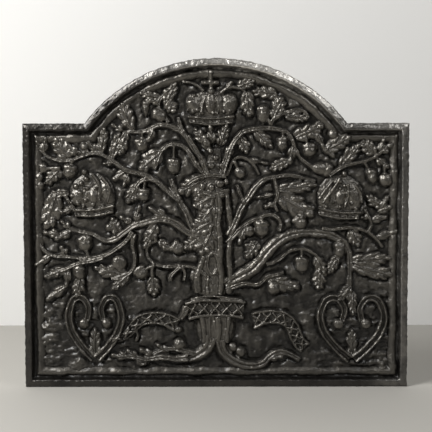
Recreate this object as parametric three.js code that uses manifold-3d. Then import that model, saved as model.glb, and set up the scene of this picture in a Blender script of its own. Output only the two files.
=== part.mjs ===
// A cast-iron fireback: an arched plate with a moulded rim, and on its face an oak tree with
// acorns, three crowns, ribbons and a pair of scroll ornaments. It stands upright on its bottom
// edge, face towards -Y. A drawing on the face has x to the right and y up, and stands out by h.
import * as THREE from "three";
import { mergeVertices } from "three/addons/utils/BufferGeometryUtils.js";
import Module from "manifold-3d";

const wasm = await Module();
wasm.setup();

// ---- Driving dimensions, in millimetres ----
const PLATE_WIDTH = 790;
const SHOULDER_HEIGHT = 544;
const ARCH_HALF_SPAN = 268;
const ARCH_RISE = 132;
const PLATE_THICKNESS = 12;

const RIM_WIDTH = 16;
const RIM_HEIGHT = 16;
const RIM_CHAMFER = 3;
const RIM_DRAFT = 2.5;
const HOLLOW_WIDTH = 6;
const BEAD_WIDTH = 9;
const BEAD_HEIGHT = 7;
const FIELD_MARGIN = 4;

const TRUNK_HEIGHT = 12;
const BOUGH_HEIGHT = 9;
const TWIG_HEIGHT = 6;
const LEAF_HEIGHT = 6.5;
const ACORN_HEIGHT = 9;
const CROWN_HEIGHT = 13;
const COLLAR_HEIGHT = 14;
const RIBBON_HEIGHT = 9;
const RIBBON_WIDTH = 29;
const SCROLL_HEIGHT = 8;
const SCROLL_WIDTH = 15;
const ROOT_HEIGHT = 11;

// Pieces that meet sideways keep this gap, which a casting's fillet fills.
const CLEARANCE = 0.3;
// A piece trims its neighbours this many clearances above its own top, so that its grooves clear too.
const TRIM_LIFT = 3;
// Length along a stem from one section to the next, and along the arch.
const STEM_STEP = 24;
const SCROLL_STEP = 13;
const BOSS_SIDES = 7;
const ARCH_STEP = 24;

// ---- Sizes that follow from those ----
const HALF_WIDTH = PLATE_WIDTH / 2;
const ARCH_RADIUS = (ARCH_HALF_SPAN ** 2 + ARCH_RISE ** 2) / (2 * ARCH_RISE);
const ARCH_CENTRE = SHOULDER_HEIGHT + ARCH_RISE - ARCH_RADIUS;
const BEAD_START = RIM_WIDTH + RIM_DRAFT + HOLLOW_WIDTH;
const BORDER = BEAD_START + BEAD_WIDTH + FIELD_MARGIN;
const FIELD_TOP = SHOULDER_HEIGHT + ARCH_RISE - BORDER;
// The face lies here, so that the whole depth is centred on y = 0.
const FACE_Y = (PLATE_THICKNESS + RIM_HEIGHT) / 2 - PLATE_THICKNESS;

// The tree is drawn on a field between these two corners, and is stretched as the plate's own field is.
const DRAWN_FIELD = [[-357.5, 37.5], [357.5, 638.5]];
const [DRAWN_LOW, DRAWN_HIGH] = DRAWN_FIELD;
const STRETCH_X = (2 * (HALF_WIDTH - BORDER)) / (DRAWN_HIGH[0] - DRAWN_LOW[0]);
const STRETCH_Y = (FIELD_TOP - BORDER) / (DRAWN_HIGH[1] - DRAWN_LOW[1]);

// A solid of the drawing, laid on the plate's field.
function onField(solid) {
  const lowered = solid.translate([0, -DRAWN_LOW[1], 0]);
  return lowered.scale([STRETCH_X, STRETCH_Y, 1]).translate([0, BORDER, 0]);
}

// ---- Cross-sections: [across from -1 to 1, up from 0 to 1] ----
const ROUND = [[-1, 0], [-0.55, 0.9], [0.35, 1], [1, 0]];
const RIDGED = [[-1, 0], [0, 1], [1, 0]];
const FLAT_BAND = [[-1, 0], [-0.9, 1], [-0.7, 0.75], [0.7, 0.75], [0.9, 1], [1, 0]];
const TWO_RIDGES = [[-1, 0], [-0.55, 1], [0, 0.5], [0.55, 1], [1, 0]];
const BARK = [[-1, 0], [-0.7, 0.9], [-0.3, 1], [0.1, 0.8], [0.5, 1], [1, 0]];

// ---- Solids ----
// One closed body through a row of equal rings, each a list of Vector3, with flat ends.
function loft(rings) {
  const size = rings[0].length;
  const positions = [];
  const corner = (ring, k) => rings[ring][(k + size) % size];
  const triangle = (a, b, c) => positions.push(...a.toArray(), ...b.toArray(), ...c.toArray());
  for (let ring = 0; ring + 1 < rings.length; ring += 1) {
    for (let k = 0; k < size; k += 1) {
      triangle(corner(ring, k), corner(ring + 1, k), corner(ring + 1, k + 1));
      triangle(corner(ring, k), corner(ring + 1, k + 1), corner(ring, k + 1));
    }
  }
  const last = rings.length - 1;
  for (const [a, b, c] of endFaces(rings[0])) triangle(corner(0, a), corner(0, b), corner(0, c));
  for (const [a, b, c] of endFaces(rings[last])) triangle(corner(last, a), corner(last, c), corner(last, b));
  const geometry = new THREE.BufferGeometry();
  geometry.setAttribute("position", new THREE.Float32BufferAttribute(positions, 3));
  return geometry;
}

// Triangles that close a flat ring, in the ring's own order: each corner is laid out by its distance
// along the ring's base line and its height.
function endFaces(ring) {
  const along = ring[ring.length - 1].clone().sub(ring[0]).setZ(0).normalize();
  const flat = ring.map((p) => new THREE.Vector2(p.clone().sub(ring[0]).dot(along), p.z));
  const faces = THREE.ShapeUtils.triangulateShape(flat, []);
  return THREE.ShapeUtils.isClockWise(flat) ? faces.map(([a, b, c]) => [a, c, b]) : faces;
}

// A geometry as a manifold solid.
function solidOf(geometry) {
  const bare = new THREE.BufferGeometry();
  const flat = geometry.index ? geometry.toNonIndexed() : geometry;
  bare.setAttribute("position", flat.getAttribute("position"));
  const merged = mergeVertices(bare, 1e-4);
  return new wasm.Manifold(
    new wasm.Mesh({
      numProp: 3,
      vertProperties: merged.attributes.position.array,
      triVerts: new Uint32Array(merged.index.array),
    }),
  );
}

// The drawing's stems, as lists of points, bent smoothly and widened from root to tip.
function stem(points, rootWidth, tipWidth, height = BOUGH_HEIGHT, section = ROUND, step = STEM_STEP) {
  return (grow) => {
    const placed = points.map(([x, y]) => new THREE.Vector3(x, y, 0));
    const curve = new THREE.CatmullRomCurve3(placed, false, "centripetal");
    const steps = Math.max(2, Math.round(curve.getLength() / step));
    const rings = [];
    for (let i = 0; i <= steps; i += 1) {
      const t = i / steps;
      const centre = curve.getPointAt(t);
      const along = curve.getTangentAt(t).setZ(0).normalize();
      if (i === 0) centre.addScaledVector(along, -grow);
      if (i === steps) centre.addScaledVector(along, grow);
      const half = THREE.MathUtils.lerp(rootWidth, tipWidth, t) / 2 + grow;
      const high = height * THREE.MathUtils.lerp(1, Math.sqrt(tipWidth / rootWidth), t) + TRIM_LIFT * grow;
      rings.push(crossSection(centre, along, half, high, section));
    }
    return solidOf(loft(rings));
  };
}

// A section's corners, stood across a line at a point.
function crossSection(centre, along, half, high, section) {
  const side = new THREE.Vector3(-along.y, along.x, 0);
  return section.map(([across, up]) => {
    const corner = centre.clone().addScaledVector(side, across * half);
    return corner.setZ(up * high);
  });
}

// Width of a lobed oak leaf along its midrib, from stalk to tip: [share of length, share of width].
const LEAF_LOBES = [[0, 0.2], [0.22, 0.85], [0.38, 0.5], [0.58, 1], [0.75, 0.55], [1, 0.2]];

// A leaf from its stalk to its tip.
function leaf(stalk, tip, width, height = LEAF_HEIGHT) {
  return (grow) => {
    const from = new THREE.Vector3(...stalk, 0);
    const to = new THREE.Vector3(...tip, 0);
    const along = to.clone().sub(from).normalize();
    from.addScaledVector(along, -grow);
    to.addScaledVector(along, grow);
    const rings = LEAF_LOBES.map(([t, share]) => {
      const centre = from.clone().lerp(to, t);
      const high = height * (0.55 + 0.45 * share) + grow;
      return crossSection(centre, along, (width / 2) * share + grow, high, RIDGED);
    });
    return solidOf(loft(rings));
  };
}

// A rounded boss, flat at the back: width across, length along the direction it points in degrees.
function boss(centre, width, length, turn = 0, height = ACORN_HEIGHT) {
  return (grow) => {
    const profile = [[0, 0], [1, 0], [0.66, 0.8], [0, 1]].map(([r, h]) => new THREE.Vector2(r, h));
    const geometry = new THREE.LatheGeometry(profile, BOSS_SIDES);
    geometry.rotateX(Math.PI / 2);
    geometry.scale(width / 2 + grow, length / 2 + grow, height + grow);
    geometry.rotateZ(THREE.MathUtils.degToRad(turn));
    geometry.translate(...centre, 0);
    return solidOf(flatBacked(geometry));
  };
}

// The same geometry with its lowest corners set exactly on the face.
function flatBacked(geometry) {
  const position = geometry.getAttribute("position");
  for (let i = 0; i < position.count; i += 1) {
    if (Math.abs(position.getZ(i)) < 1e-3) position.setZ(i, 0);
  }
  return geometry;
}

// An acorn, longer than it is wide.
function acorn(centre, width, length, turn = 0) {
  return boss(centre, width, length, turn);
}

// A ball on a twig.
function ball(centre, diameter) {
  return boss(centre, diameter, diameter);
}

function twig(points, rootWidth = 7, tipWidth = 5) {
  return stem(points, rootWidth, tipWidth, TWIG_HEIGHT);
}

// ---- The plate and its mouldings ----
// Half of the angle that the arch spans, on an outline moved inwards by inset.
function archHalfAngle(inset) {
  return Math.acos((SHOULDER_HEIGHT - inset - ARCH_CENTRE) / (ARCH_RADIUS - inset));
}

function archPoint(inset, angle) {
  const radius = ARCH_RADIUS - inset;
  return [radius * Math.sin(angle), ARCH_CENTRE + radius * Math.cos(angle)];
}

const ARCH_LENGTH = 2 * archHalfAngle(0) * ARCH_RADIUS;
const ARCH_PARTS = ["right", "top", "left"];
const STEPS_IN_PART = Math.round(ARCH_LENGTH / ARCH_STEP / ARCH_PARTS.length);
const ARCH_STEPS = STEPS_IN_PART * ARCH_PARTS.length;

// Angle on the arch at a share of its span, from right to left, a little short at each joint.
function archAngle(inset, share, shortBy) {
  return archHalfAngle(inset) * (1 - 2 * share) + shortBy / (ARCH_RADIUS - inset);
}

// The lines of the moulding strips: each gives its points on an outline moved inwards by inset.
function mouldingLines() {
  const gap = CLEARANCE / 2;
  const half = (inset) => HALF_WIDTH - inset;
  const shoulder = (inset) => SHOULDER_HEIGHT - inset;
  const foot = (inset) => archPoint(inset, archHalfAngle(inset))[0];
  const lines = {
    bottom: (d) => [[-half(d) + gap, d], [half(d) - gap, d]],
    right: (d) => [[half(d), d + gap], [half(d), shoulder(d) - gap]],
    right_shoulder: (d) => [[half(d) - gap, shoulder(d)], [foot(d) + gap, shoulder(d)]],
    left_shoulder: (d) => [[-foot(d) - gap, shoulder(d)], [-half(d) + gap, shoulder(d)]],
    left: (d) => [[-half(d), shoulder(d) - gap], [-half(d), d + gap]],
  };
  ARCH_PARTS.forEach((part, k) => {
    lines[`arch_${part}`] = (d) => {
      const points = [];
      for (let i = 0; i <= STEPS_IN_PART; i += 1) {
        const share = (k * STEPS_IN_PART + i) / ARCH_STEPS;
        const shortBy = i === 0 ? -gap : i === STEPS_IN_PART ? gap : 0;
        points.push(archPoint(d, archAngle(d, share, shortBy)));
      }
      return points;
    };
  });
  return lines;
}

// One strip of moulding: a profile of [inset, height] carried along a line.
function moulding(line, profile) {
  const rows = profile.map(([inset, height]) => line(inset).map(([x, y]) => new THREE.Vector3(x, y, height)));
  return solidOf(loft(rows[0].map((_, i) => rows.map((row) => row[i]))));
}

function rimProfile(grow) {
  return [
    [0, 0],
    [0, RIM_HEIGHT - RIM_CHAMFER],
    [RIM_CHAMFER, RIM_HEIGHT + grow],
    [RIM_WIDTH - RIM_CHAMFER / 2, RIM_HEIGHT + grow],
    [RIM_WIDTH + grow, RIM_HEIGHT - RIM_CHAMFER / 2 + grow],
    [RIM_WIDTH + RIM_DRAFT + grow, 0],
  ];
}

function beadProfile(grow) {
  const middle = BEAD_START + BEAD_WIDTH / 2;
  const half = BEAD_WIDTH / 2 + grow;
  const high = BEAD_HEIGHT + grow;
  return [
    [middle - half, 0],
    [middle - half * 0.7, high * 0.75],
    [middle, high],
    [middle + half * 0.7, high * 0.75],
    [middle + half, 0],
  ];
}

// The flat plate behind everything.
function plateSolid() {
  const corners = [[-HALF_WIDTH, 0], [HALF_WIDTH, 0], [HALF_WIDTH, SHOULDER_HEIGHT]];
  for (let i = 0; i <= ARCH_STEPS; i += 1) {
    corners.push(archPoint(0, archAngle(0, i / ARCH_STEPS, 0)));
  }
  corners.push([-HALF_WIDTH, SHOULDER_HEIGHT]);
  const shape = new THREE.Shape(corners.map(([x, y]) => new THREE.Vector2(x, y)));
  const geometry = new THREE.ExtrudeGeometry(shape, { depth: PLATE_THICKNESS, bevelEnabled: false });
  geometry.translate(0, 0, -PLATE_THICKNESS);
  return solidOf(geometry);
}

// ---- Crowns, collar, ribbons and scrolls ----
// Points of a small drawing, turned by tilt in degrees and set down at a place.
function placedAt(centre, tilt) {
  const angle = THREE.MathUtils.degToRad(tilt);
  return ([x, y]) => [
    centre[0] + x * Math.cos(angle) - y * Math.sin(angle),
    centre[1] + x * Math.sin(angle) + y * Math.cos(angle),
  ];
}

// A crown: a beaded band, a domed cap and five ribs that meet under an orb.
function crown(centre, width, rise, tilt, hasCross) {
  const at = placedAt(centre, tilt);
  const half = width / 2;
  const pieces = [
    boss(at([0, rise * 0.42]), width * 0.92, rise * 0.95, tilt, CROWN_HEIGHT * 0.7),
    stem([[-half * 0.86, 0], [0, -4], [half * 0.86, 0]].map(at), 13, 13, CROWN_HEIGHT, FLAT_BAND),
  ];
  for (const k of [-2, -1, 0, 1, 2]) {
    const foot = [k * half * 0.38, 3];
    const bulge = [k * half * 0.46, rise * 0.55];
    pieces.push(stem([foot, bulge, [k * 2, rise * 0.92]].map(at), 9, 7, CROWN_HEIGHT, RIDGED));
  }
  pieces.push(boss(at([0, rise]), 15, 15, 0, CROWN_HEIGHT));
  if (hasCross) {
    pieces.push(stem([[0, rise + 4], [0, rise + 38]].map(at), 7, 7, CROWN_HEIGHT * 0.7));
    pieces.push(stem([[-13, rise + 20], [13, rise + 20]].map(at), 8, 8, CROWN_HEIGHT * 0.7));
  }
  return pieces;
}

// A strip of ribbon along its middle line.
function ribbon(points, startWidth, endWidth) {
  return stem(points, startWidth, endWidth, RIBBON_HEIGHT, FLAT_BAND);
}

// The ribbon tied round the trunk, with plain lozenges along it.
function collar(centre, halfLength) {
  const at = placedAt(centre, -2);
  const face = stem([[-halfLength, 0], [0, -2], [halfLength, 0]].map(at), 34, 34, COLLAR_HEIGHT, FLAT_BAND);
  const lozenges = [-36, -12, 12, 36].map((x) => boss(at([x, 0]), 15, 15, 0, COLLAR_HEIGHT));
  const fold = stem([[-halfLength + 3, -6], [-halfLength - 8, -22]].map(at), 20, 12, RIBBON_HEIGHT, FLAT_BAND);
  return [face, fold, ...lozenges];
}

// Half of a heart-shaped scroll: up from the point at the foot, over, and in to a ball.
function halfScroll(centre, side, width, height) {
  const at = ([x, y]) => [centre[0] + (side * x * width) / 2, centre[1] + y * height];
  const line = [[0.06, 0], [0.5, 0.2], [0.9, 0.5], [0.93, 0.78], [0.62, 0.97], [0.26, 0.84], [0.3, 0.6]];
  return [
    stem(line.map(at), SCROLL_WIDTH, SCROLL_WIDTH * 0.7, SCROLL_HEIGHT, TWO_RIDGES, SCROLL_STEP),
    ball(at([0.42, 0.56]), 18),
  ];
}

function scroll(centre, width, height) {
  const bud = [centre[0], centre[1] + height * 0.42];
  return [
    ...halfScroll(centre, -1, width, height),
    ...halfScroll(centre, 1, width, height),
    leaf([centre[0], centre[1] + 4], [bud[0], bud[1]], 17),
  ];
}

// ---- The tree, drawn in millimetres from the plate's centre line and bottom edge ----
const TREE = {
  trunk: [
    stem([[5, 192], [6, 235], [4, 300], [-3, 360], [-7, 410]], 50, 62, TRUNK_HEIGHT, BARK),
    stem([[-7, 400], [-4, 440], [-3, 480], [0, 512]], 56, 38, TRUNK_HEIGHT, BARK),
    leaf([-24, 438], [-67, 408], 26, TRUNK_HEIGHT),
    ball([-25, 415], 17),
    boss([4, 421], 18, 18, 0, TRUNK_HEIGHT + 3),
    boss([-14, 408], 18, 18, 0, TRUNK_HEIGHT + 3),
    boss([20, 427], 16, 16, 0, TRUNK_HEIGHT + 3),
    leaf([-5, 395], [-38, 375], 22, TRUNK_HEIGHT + 2),
    leaf([5, 390], [-18, 360], 22, TRUNK_HEIGHT + 3),
    leaf([-12, 352], [-38, 328], 24, TRUNK_HEIGHT + 2),
    leaf([-5, 335], [-45, 300], 24, TRUNK_HEIGHT + 2),
    leaf([-10, 305], [-40, 272], 22, TRUNK_HEIGHT),
    leaf([-2, 310], [-12, 275], 16, TRUNK_HEIGHT + 3),
    leaf([-15, 500], [-42, 534], 18, TRUNK_HEIGHT),
    leaf([-8, 505], [-16, 538], 18, TRUNK_HEIGHT + 1),
    leaf([5, 502], [8, 538], 18, TRUNK_HEIGHT + 1),
    leaf([12, 495], [28, 528], 18, TRUNK_HEIGHT),
    leaf([14, 470], [28, 495], 16, TRUNK_HEIGHT),
    boss([-9, 486], 14, 16, 0, TRUNK_HEIGHT + 3),
    boss([-8, 457], 15, 14, 0, TRUNK_HEIGHT + 3),
    boss([13, 457], 15, 13, 0, TRUNK_HEIGHT + 3),
  ],
  trunk_foot: [
    stem([[-1, 148], [-2, 120], [-3, 95]], 76, 62, TRUNK_HEIGHT, BARK),
  ],
  left_root: [
    stem([[-14, 100], [-20, 82], [-36, 66], [-56, 56]], 18, 13, ROOT_HEIGHT),
    stem([[-56, 56], [-82, 58], [-112, 61], [-142, 57], [-168, 61], [-190, 62]], 15, 11, ROOT_HEIGHT),
    stem([[-50, 62], [-80, 76], [-108, 77], [-130, 68]], 11, 9),
    ball([-76, 88], 22),
    leaf([-128, 66], [-158, 76], 15),
    leaf([-160, 60], [-185, 76], 14),
    leaf([-168, 56], [-146, 46], 12),
  ],
  right_root: [
    stem([[8, 96], [12, 78], [26, 60], [50, 47], [78, 43], [98, 48], [112, 62], [130, 71], [150, 67], [173, 55]], 17, 9, ROOT_HEIGHT),
    twig([[28, 60], [34, 82]]),
    boss([34, 82], 20, 22, 30),
    twig([[44, 52], [51, 72]]),
    ball([51, 72], 19),
    leaf([108, 56], [138, 62], 12),
  ],
  left_top_bough: [
    stem([[-32, 478], [-42, 488], [-52, 504], [-65, 521], [-80, 532], [-98, 539], [-115, 540], [-130, 534], [-148, 527], [-168, 526], [-190, 527]], 12, 7),
    stem([[-60, 516], [-70, 535], [-77, 556]], 9, 7),
    leaf([-126, 535], [-137, 507], 16),
    acorn([-152, 500], 24, 26, 10),
    twig([[-150, 524], [-152, 500]]),
    leaf([-165, 529], [-186, 549], 13),
    leaf([-174, 534], [-190, 582], 26),
    leaf([-186, 527], [-212, 541], 13),
    leaf([-182, 527], [-196, 482], 18),
  ],
  left_arch_spray: [
    stem([[-96, 545], [-105, 560], [-116, 578], [-112, 594], [-98, 602]], 8, 7, TWIG_HEIGHT),
    acorn([-115, 560], 22, 30, 60),
    leaf([-104, 580], [-82, 622], 18),
    leaf([-100, 596], [-86, 568], 24),
    leaf([-112, 594], [-152, 604], 17),
    leaf([-114, 586], [-136, 591], 14),
    twig([[-134, 590], [-143, 576]]),
    acorn([-143, 576], 13, 28, 0),
    leaf([-110, 600], [-88, 617], 14),
  ],
  left_inner_bough: [
    stem([[-42, 462], [-52, 480], [-62, 493], [-78, 500], [-95, 499], [-108, 491], [-115, 479], [-120, 464], [-126, 449]], 10, 8),
    leaf([-112, 486], [-152, 452], 30),
    leaf([-118, 488], [-143, 478], 14),
    twig([[-85, 497], [-87, 460]]),
    acorn([-87, 457], 24, 30, 0),
  ],
  left_long_bough: [
    stem([[-50, 336], [-60, 360], [-72, 380], [-80, 398], [-88, 416], [-92, 430]], 15, 10),
    stem([[-74, 385], [-96, 402], [-115, 420], [-140, 437], [-165, 443], [-185, 449], [-205, 463], [-220, 474], [-245, 483], [-270, 478], [-300, 468], [-325, 469], [-345, 477], [-358, 490]], 10, 7),
    leaf([-352, 482], [-348, 516], 15),
    leaf([-352, 485], [-368, 508], 12),
    leaf([-300, 471], [-326, 510], 28),
    leaf([-283, 476], [-305, 502], 16),
    leaf([-262, 480], [-281, 485], 10),
    twig([[-258, 480], [-268, 495]]),
    ball([-269, 497], 17),
    leaf([-242, 485], [-262, 507], 14),
    leaf([-236, 481], [-228, 530], 17),
    leaf([-214, 470], [-198, 520], 17),
    leaf([-208, 463], [-231, 461], 11),
    leaf([-184, 446], [-210, 427], 15),
    leaf([-178, 443], [-189, 414], 13),
    twig([[-293, 470], [-300, 448]]),
    acorn([-300, 446], 25, 27, -10),
    stem([[-118, 424], [-138, 430], [-154, 425], [-164, 410], [-167, 386]], 10, 8),
    leaf([-160, 420], [-180, 384], 22),
    twig([[-146, 426], [-148, 400]]),
    acorn([-148, 398], 22, 25, 0),
  ],
  left_edge_acorns: [
    twig([[-318, 452], [-340, 452], [-354, 448], [-362, 434], [-360, 417]], 8, 7),
    leaf([-318, 450], [-346, 424], 22),
    ball([-354, 453], 18),
    ball([-362, 434], 15),
    ball([-360, 417], 15),
  ],
  left_edge_leaves: [
    leaf([-300, 402], [-338, 398], 17),
    stem([[-284, 362], [-298, 380], [-310, 398]], 7, 7, TWIG_HEIGHT),
    leaf([-291, 370], [-320, 360], 13),
    leaf([-326, 402], [-348, 334], 32),
  ],
  left_middle_bough: [
    stem([[-44, 316], [-60, 322], [-78, 336], [-100, 346], [-128, 345], [-150, 339], [-168, 334], [-185, 322], [-203, 309], [-222, 303], [-238, 308], [-255, 317], [-280, 322], [-300, 328]], 17, 8),
    leaf([-122, 340], [-145, 292], 23),
    leaf([-100, 350], [-136, 370], 16),
    leaf([-166, 338], [-157, 376], 13),
    leaf([-170, 338], [-196, 352], 14),
    leaf([-200, 316], [-212, 347], 20),
    ball([-220, 330], 14),
    leaf([-298, 326], [-318, 345], 12),
    leaf([-296, 324], [-330, 305], 16),
    leaf([-318, 316], [-354, 320], 16),
  ],
  left_lower_bough: [
    stem([[-172, 322], [-182, 306], [-200, 290], [-222, 276], [-245, 269], [-275, 267], [-305, 270], [-332, 272], [-350, 281], [-366, 304]], 10, 6),
    leaf([-338, 273], [-372, 252], 13),
    leaf([-308, 272], [-320, 291], 16),
    twig([[-262, 270], [-270, 296]]),
    acorn([-270, 298], 28, 30, 10),
    stem([[-232, 268], [-260, 260], [-285, 256], [-305, 247], [-322, 240]], 8, 7),
    twig([[-285, 256], [-282, 238]]),
    acorn([-282, 237], 23, 28, 0),
    leaf([-310, 246], [-350, 229], 18),
    leaf([-302, 246], [-309, 208], 14),
    leaf([-305, 212], [-348, 181], 16),
    leaf([-280, 228], [-288, 189], 22),
  ],
  left_hanging_twig: [
    stem([[-167, 318], [-172, 300], [-169, 280], [-167, 262], [-172, 244], [-185, 231], [-202, 225], [-216, 225]], 9, 6),
    leaf([-188, 232], [-244, 246], 24),
    twig([[-186, 236], [-199, 255]]),
    ball([-200, 257], 27),
    leaf([-176, 238], [-212, 204], 17),
  ],
  left_curled_branch: [
    stem([[-26, 234], [-38, 244], [-50, 249], [-68, 251], [-92, 250], [-115, 251], [-133, 261], [-142, 278], [-138, 294], [-120, 303]], 9, 6),
    leaf([-118, 302], [-92, 284], 17),
    twig([[-98, 287], [-80, 288]]),
    acorn([-79, 288], 24, 27, 60),
    stem([[-73, 250], [-84, 240], [-94, 228], [-94, 219]], 7, 8),
    stem([[-70, 250], [-64, 236], [-66, 220]], 7, 6),
    leaf([-46, 247], [-43, 201], 15),
    stem([[-128, 258], [-132, 242], [-131, 226]], 7, 6),
    leaf([-132, 230], [-127, 192], 22),
    acorn([-155, 237], 26, 26, 40),
    twig([[-134, 250], [-154, 238]]),
  ],
  crown_twig: [
    stem([[-24, 610], [-36, 619], [-50, 626], [-68, 628]], 6, 5, TWIG_HEIGHT),
  ],
  top_spray: [
    twig([[10, 604], [24, 614], [44, 616], [64, 604]]),
    leaf([22, 612], [34, 629], 13),
    leaf([42, 616], [78, 629], 18),
    leaf([62, 608], [68, 560], 24),
  ],
  right_top_bough: [
    stem([[30, 488], [42, 512], [56, 525], [78, 531], [105, 533], [130, 530], [147, 523], [156, 508], [163, 490], [173, 473], [188, 460], [206, 447]], 11, 7),
    twig([[138, 528], [136, 504]]),
    acorn([136, 502], 21, 27, 0),
    leaf([50, 516], [62, 484], 20),
    leaf([80, 528], [113, 496], 20),
    leaf([158, 500], [152, 461], 15),
    leaf([152, 468], [114, 451], 19),
    acorn([218, 450], 23, 40, -100),
  ],
  right_arch_spray: [
    stem([[112, 540], [118, 550], [128, 557], [141, 564], [158, 569], [174, 570], [192, 554]], 8, 6, TWIG_HEIGHT),
    leaf([118, 552], [136, 592], 25),
    leaf([130, 584], [122, 604], 12),
    leaf([126, 603], [80, 608], 22),
    twig([[112, 544], [98, 560]]),
    acorn([97, 562], 22, 34, 0),
    leaf([140, 560], [184, 552], 18),
  ],
  right_shoulder_spray: [
    leaf([162, 514], [215, 537], 27),
    twig([[182, 518], [191, 490]]),
    acorn([192, 488], 26, 27, 0),
    leaf([205, 527], [222, 492], 14),
    leaf([218, 498], [243, 474], 14),
    leaf([226, 488], [272, 514], 24),
    twig([[226, 488], [236, 504], [240, 520]]),
    ball([240, 521], 19),
  ],
  right_long_bough: [
    stem([[232, 436], [246, 446], [262, 455], [285, 461], [310, 467], [330, 477], [342, 488]], 8, 6),
    leaf([254, 452], [292, 498], 22),
    leaf([336, 482], [360, 501], 16),
    leaf([326, 478], [302, 506], 22),
    leaf([334, 482], [344, 512], 14),
    leaf([326, 473], [353, 453], 15),
    twig([[304, 464], [319, 438]]),
    acorn([320, 435], 20, 29, 10),
    twig([[344, 458], [348, 430]]),
    ball([348, 427], 24),
  ],
  right_inner_bough: [
    stem([[42, 344], [54, 372], [68, 392], [82, 412], [98, 427], [120, 433], [150, 437], [180, 431], [204, 424]], 15, 7),
    stem([[58, 380], [50, 400], [43, 418]], 8, 7),
    stem([[119, 432], [124, 412], [126, 395], [121, 378], [127, 362]], 8, 6),
    leaf([122, 408], [198, 416], 20),
    leaf([124, 398], [85, 392], 9),
    leaf([121, 380], [101, 371], 13),
    leaf([128, 396], [193, 358], 36),
    acorn([173, 341], 25, 26, 30),
    twig([[160, 362], [172, 344]]),
  ],
  right_ring_twig: [
    stem([[31, 452], [34, 466], [46, 474], [62, 471], [78, 458], [89, 438]], 7, 5, TWIG_HEIGHT),
    leaf([60, 472], [106, 461], 10),
    twig([[38, 466], [48, 444]]),
    ball([49, 442], 20),
  ],
  right_middle_bough: [
    stem([[38, 314], [48, 325], [58, 334], [75, 344], [95, 352], [112, 356], [125, 351], [133, 338], [130, 322]], 10, 7),
    twig([[94, 350], [94, 330]]),
    acorn([94, 328], 27, 32, 0),
    ball([68, 322], 19),
    twig([[48, 324], [66, 322]]),
    leaf([58, 328], [48, 296], 14),
  ],
  right_curly_leaf: [
    leaf([88, 302], [64, 270], 21),
    leaf([86, 296], [60, 292], 13),
  ],
  right_great_bough: [
    stem([[34, 221], [50, 229], [70, 240], [88, 256], [102, 275], [118, 293], [138, 307], [160, 316], [185, 319], [210, 318], [235, 314], [256, 303], [270, 288], [276, 265], [276, 235], [276, 208], [283, 190]], 24, 8),
    leaf([281, 196], [283, 152], 18),
    leaf([278, 208], [254, 180], 20),
    twig([[254, 304], [254, 285]]),
    acorn([254, 283], 21, 30, 0),
    leaf([252, 272], [233, 238], 17),
    leaf([280, 262], [354, 266], 22),
    leaf([279, 252], [358, 232], 26),
  ],
  right_lower_bough: [
    stem([[38, 208], [56, 214], [72, 212], [86, 212], [96, 218], [106, 228], [122, 232], [140, 237]], 10, 8),
    leaf([106, 224], [166, 206], 27),
    ball([119, 204], 23),
  ],
  right_looped_branch: [
    stem([[104, 254], [118, 258], [134, 267], [148, 279], [165, 285], [182, 285], [198, 278], [212, 265], [222, 247]], 8, 6),
    twig([[176, 284], [177, 256]]),
    acorn([177, 254], 26, 30, 0),
    leaf([204, 270], [222, 236], 20),
    leaf([215, 244], [211, 205], 24),
  ],
  right_outer_bough: [
    stem([[218, 328], [240, 326], [268, 329], [292, 327], [312, 319], [330, 305], [343, 288]], 8, 6),
    leaf([276, 326], [292, 293], 24),
    leaf([326, 308], [370, 322], 16),
    stem([[312, 319], [319, 337], [313, 354], [306, 367]], 7, 6),
    leaf([317, 345], [352, 352], 15),
    leaf([314, 352], [298, 350], 10),
  ],
  right_edge_leaves: [
    leaf([332, 362], [362, 374], 15),
    leaf([338, 366], [352, 394], 14),
    leaf([342, 372], [312, 392], 18),
  ],
};

const ORNAMENTS = {
  collar: collar([-3, 168], 58),
  top_crown: crown([-9, 552], 96, 56, 0, true),
  left_crown: crown([-250, 362], 92, 80, -7, false),
  right_crown: crown([255, 356], 92, 80, 7, false),
  left_ribbon: [
    ribbon([[-80, 128], [-105, 137], [-130, 139], [-150, 135], [-166, 122], [-180, 107], [-200, 99], [-216, 98]], RIBBON_WIDTH, RIBBON_WIDTH * 0.45),
    boss([-78, 118], 18, 16, 0, RIBBON_HEIGHT),
  ],
  right_ribbon: [
    ribbon([[76, 134], [95, 142], [120, 146], [142, 141], [156, 126], [164, 108], [172, 92], [184, 82]], RIBBON_WIDTH, RIBBON_WIDTH * 0.7),
  ],
  left_scroll: scroll([-250, 58], 112, 132),
  right_scroll: scroll([281, 56], 136, 132),
};

// ---- Assembly ----
// Colours of the cast iron, by how much light and handling each place gets.
const IRON = { color: 0x37352f, roughness: 0.5, metalness: 0.9 };
const RUBBED_IRON = { color: 0x5a5751, roughness: 0.42, metalness: 0.95 };

// A drawing's solid stood up on the plate: height above the face points to -Y.
const STAND_UP = new THREE.Matrix4().set(1, 0, 0, 0, 0, 0, -1, FACE_Y, 0, 1, 0, 0, 0, 0, 0, 1);

function meshOf(name, solid, finish) {
  const { vertProperties, triVerts, numProp } = solid.getMesh();
  const position = new Float32Array((vertProperties.length / numProp) * 3);
  for (let i = 0; i * numProp < vertProperties.length; i += 1) {
    position.set(vertProperties.subarray(i * numProp, i * numProp + 3), i * 3);
  }
  const geometry = new THREE.BufferGeometry();
  geometry.setAttribute("position", new THREE.BufferAttribute(position, 3));
  geometry.setIndex(new THREE.BufferAttribute(new Uint32Array(triVerts), 1));
  geometry.applyMatrix4(STAND_UP);
  geometry.computeVertexNormals();
  const mesh = new THREE.Mesh(geometry, new THREE.MeshStandardMaterial(finish));
  mesh.name = name;
  return mesh;
}

function joined(makers, grow) {
  return onField(makers.map((make) => make(grow)).reduce((whole, piece) => whole.add(piece)));
}

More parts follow.
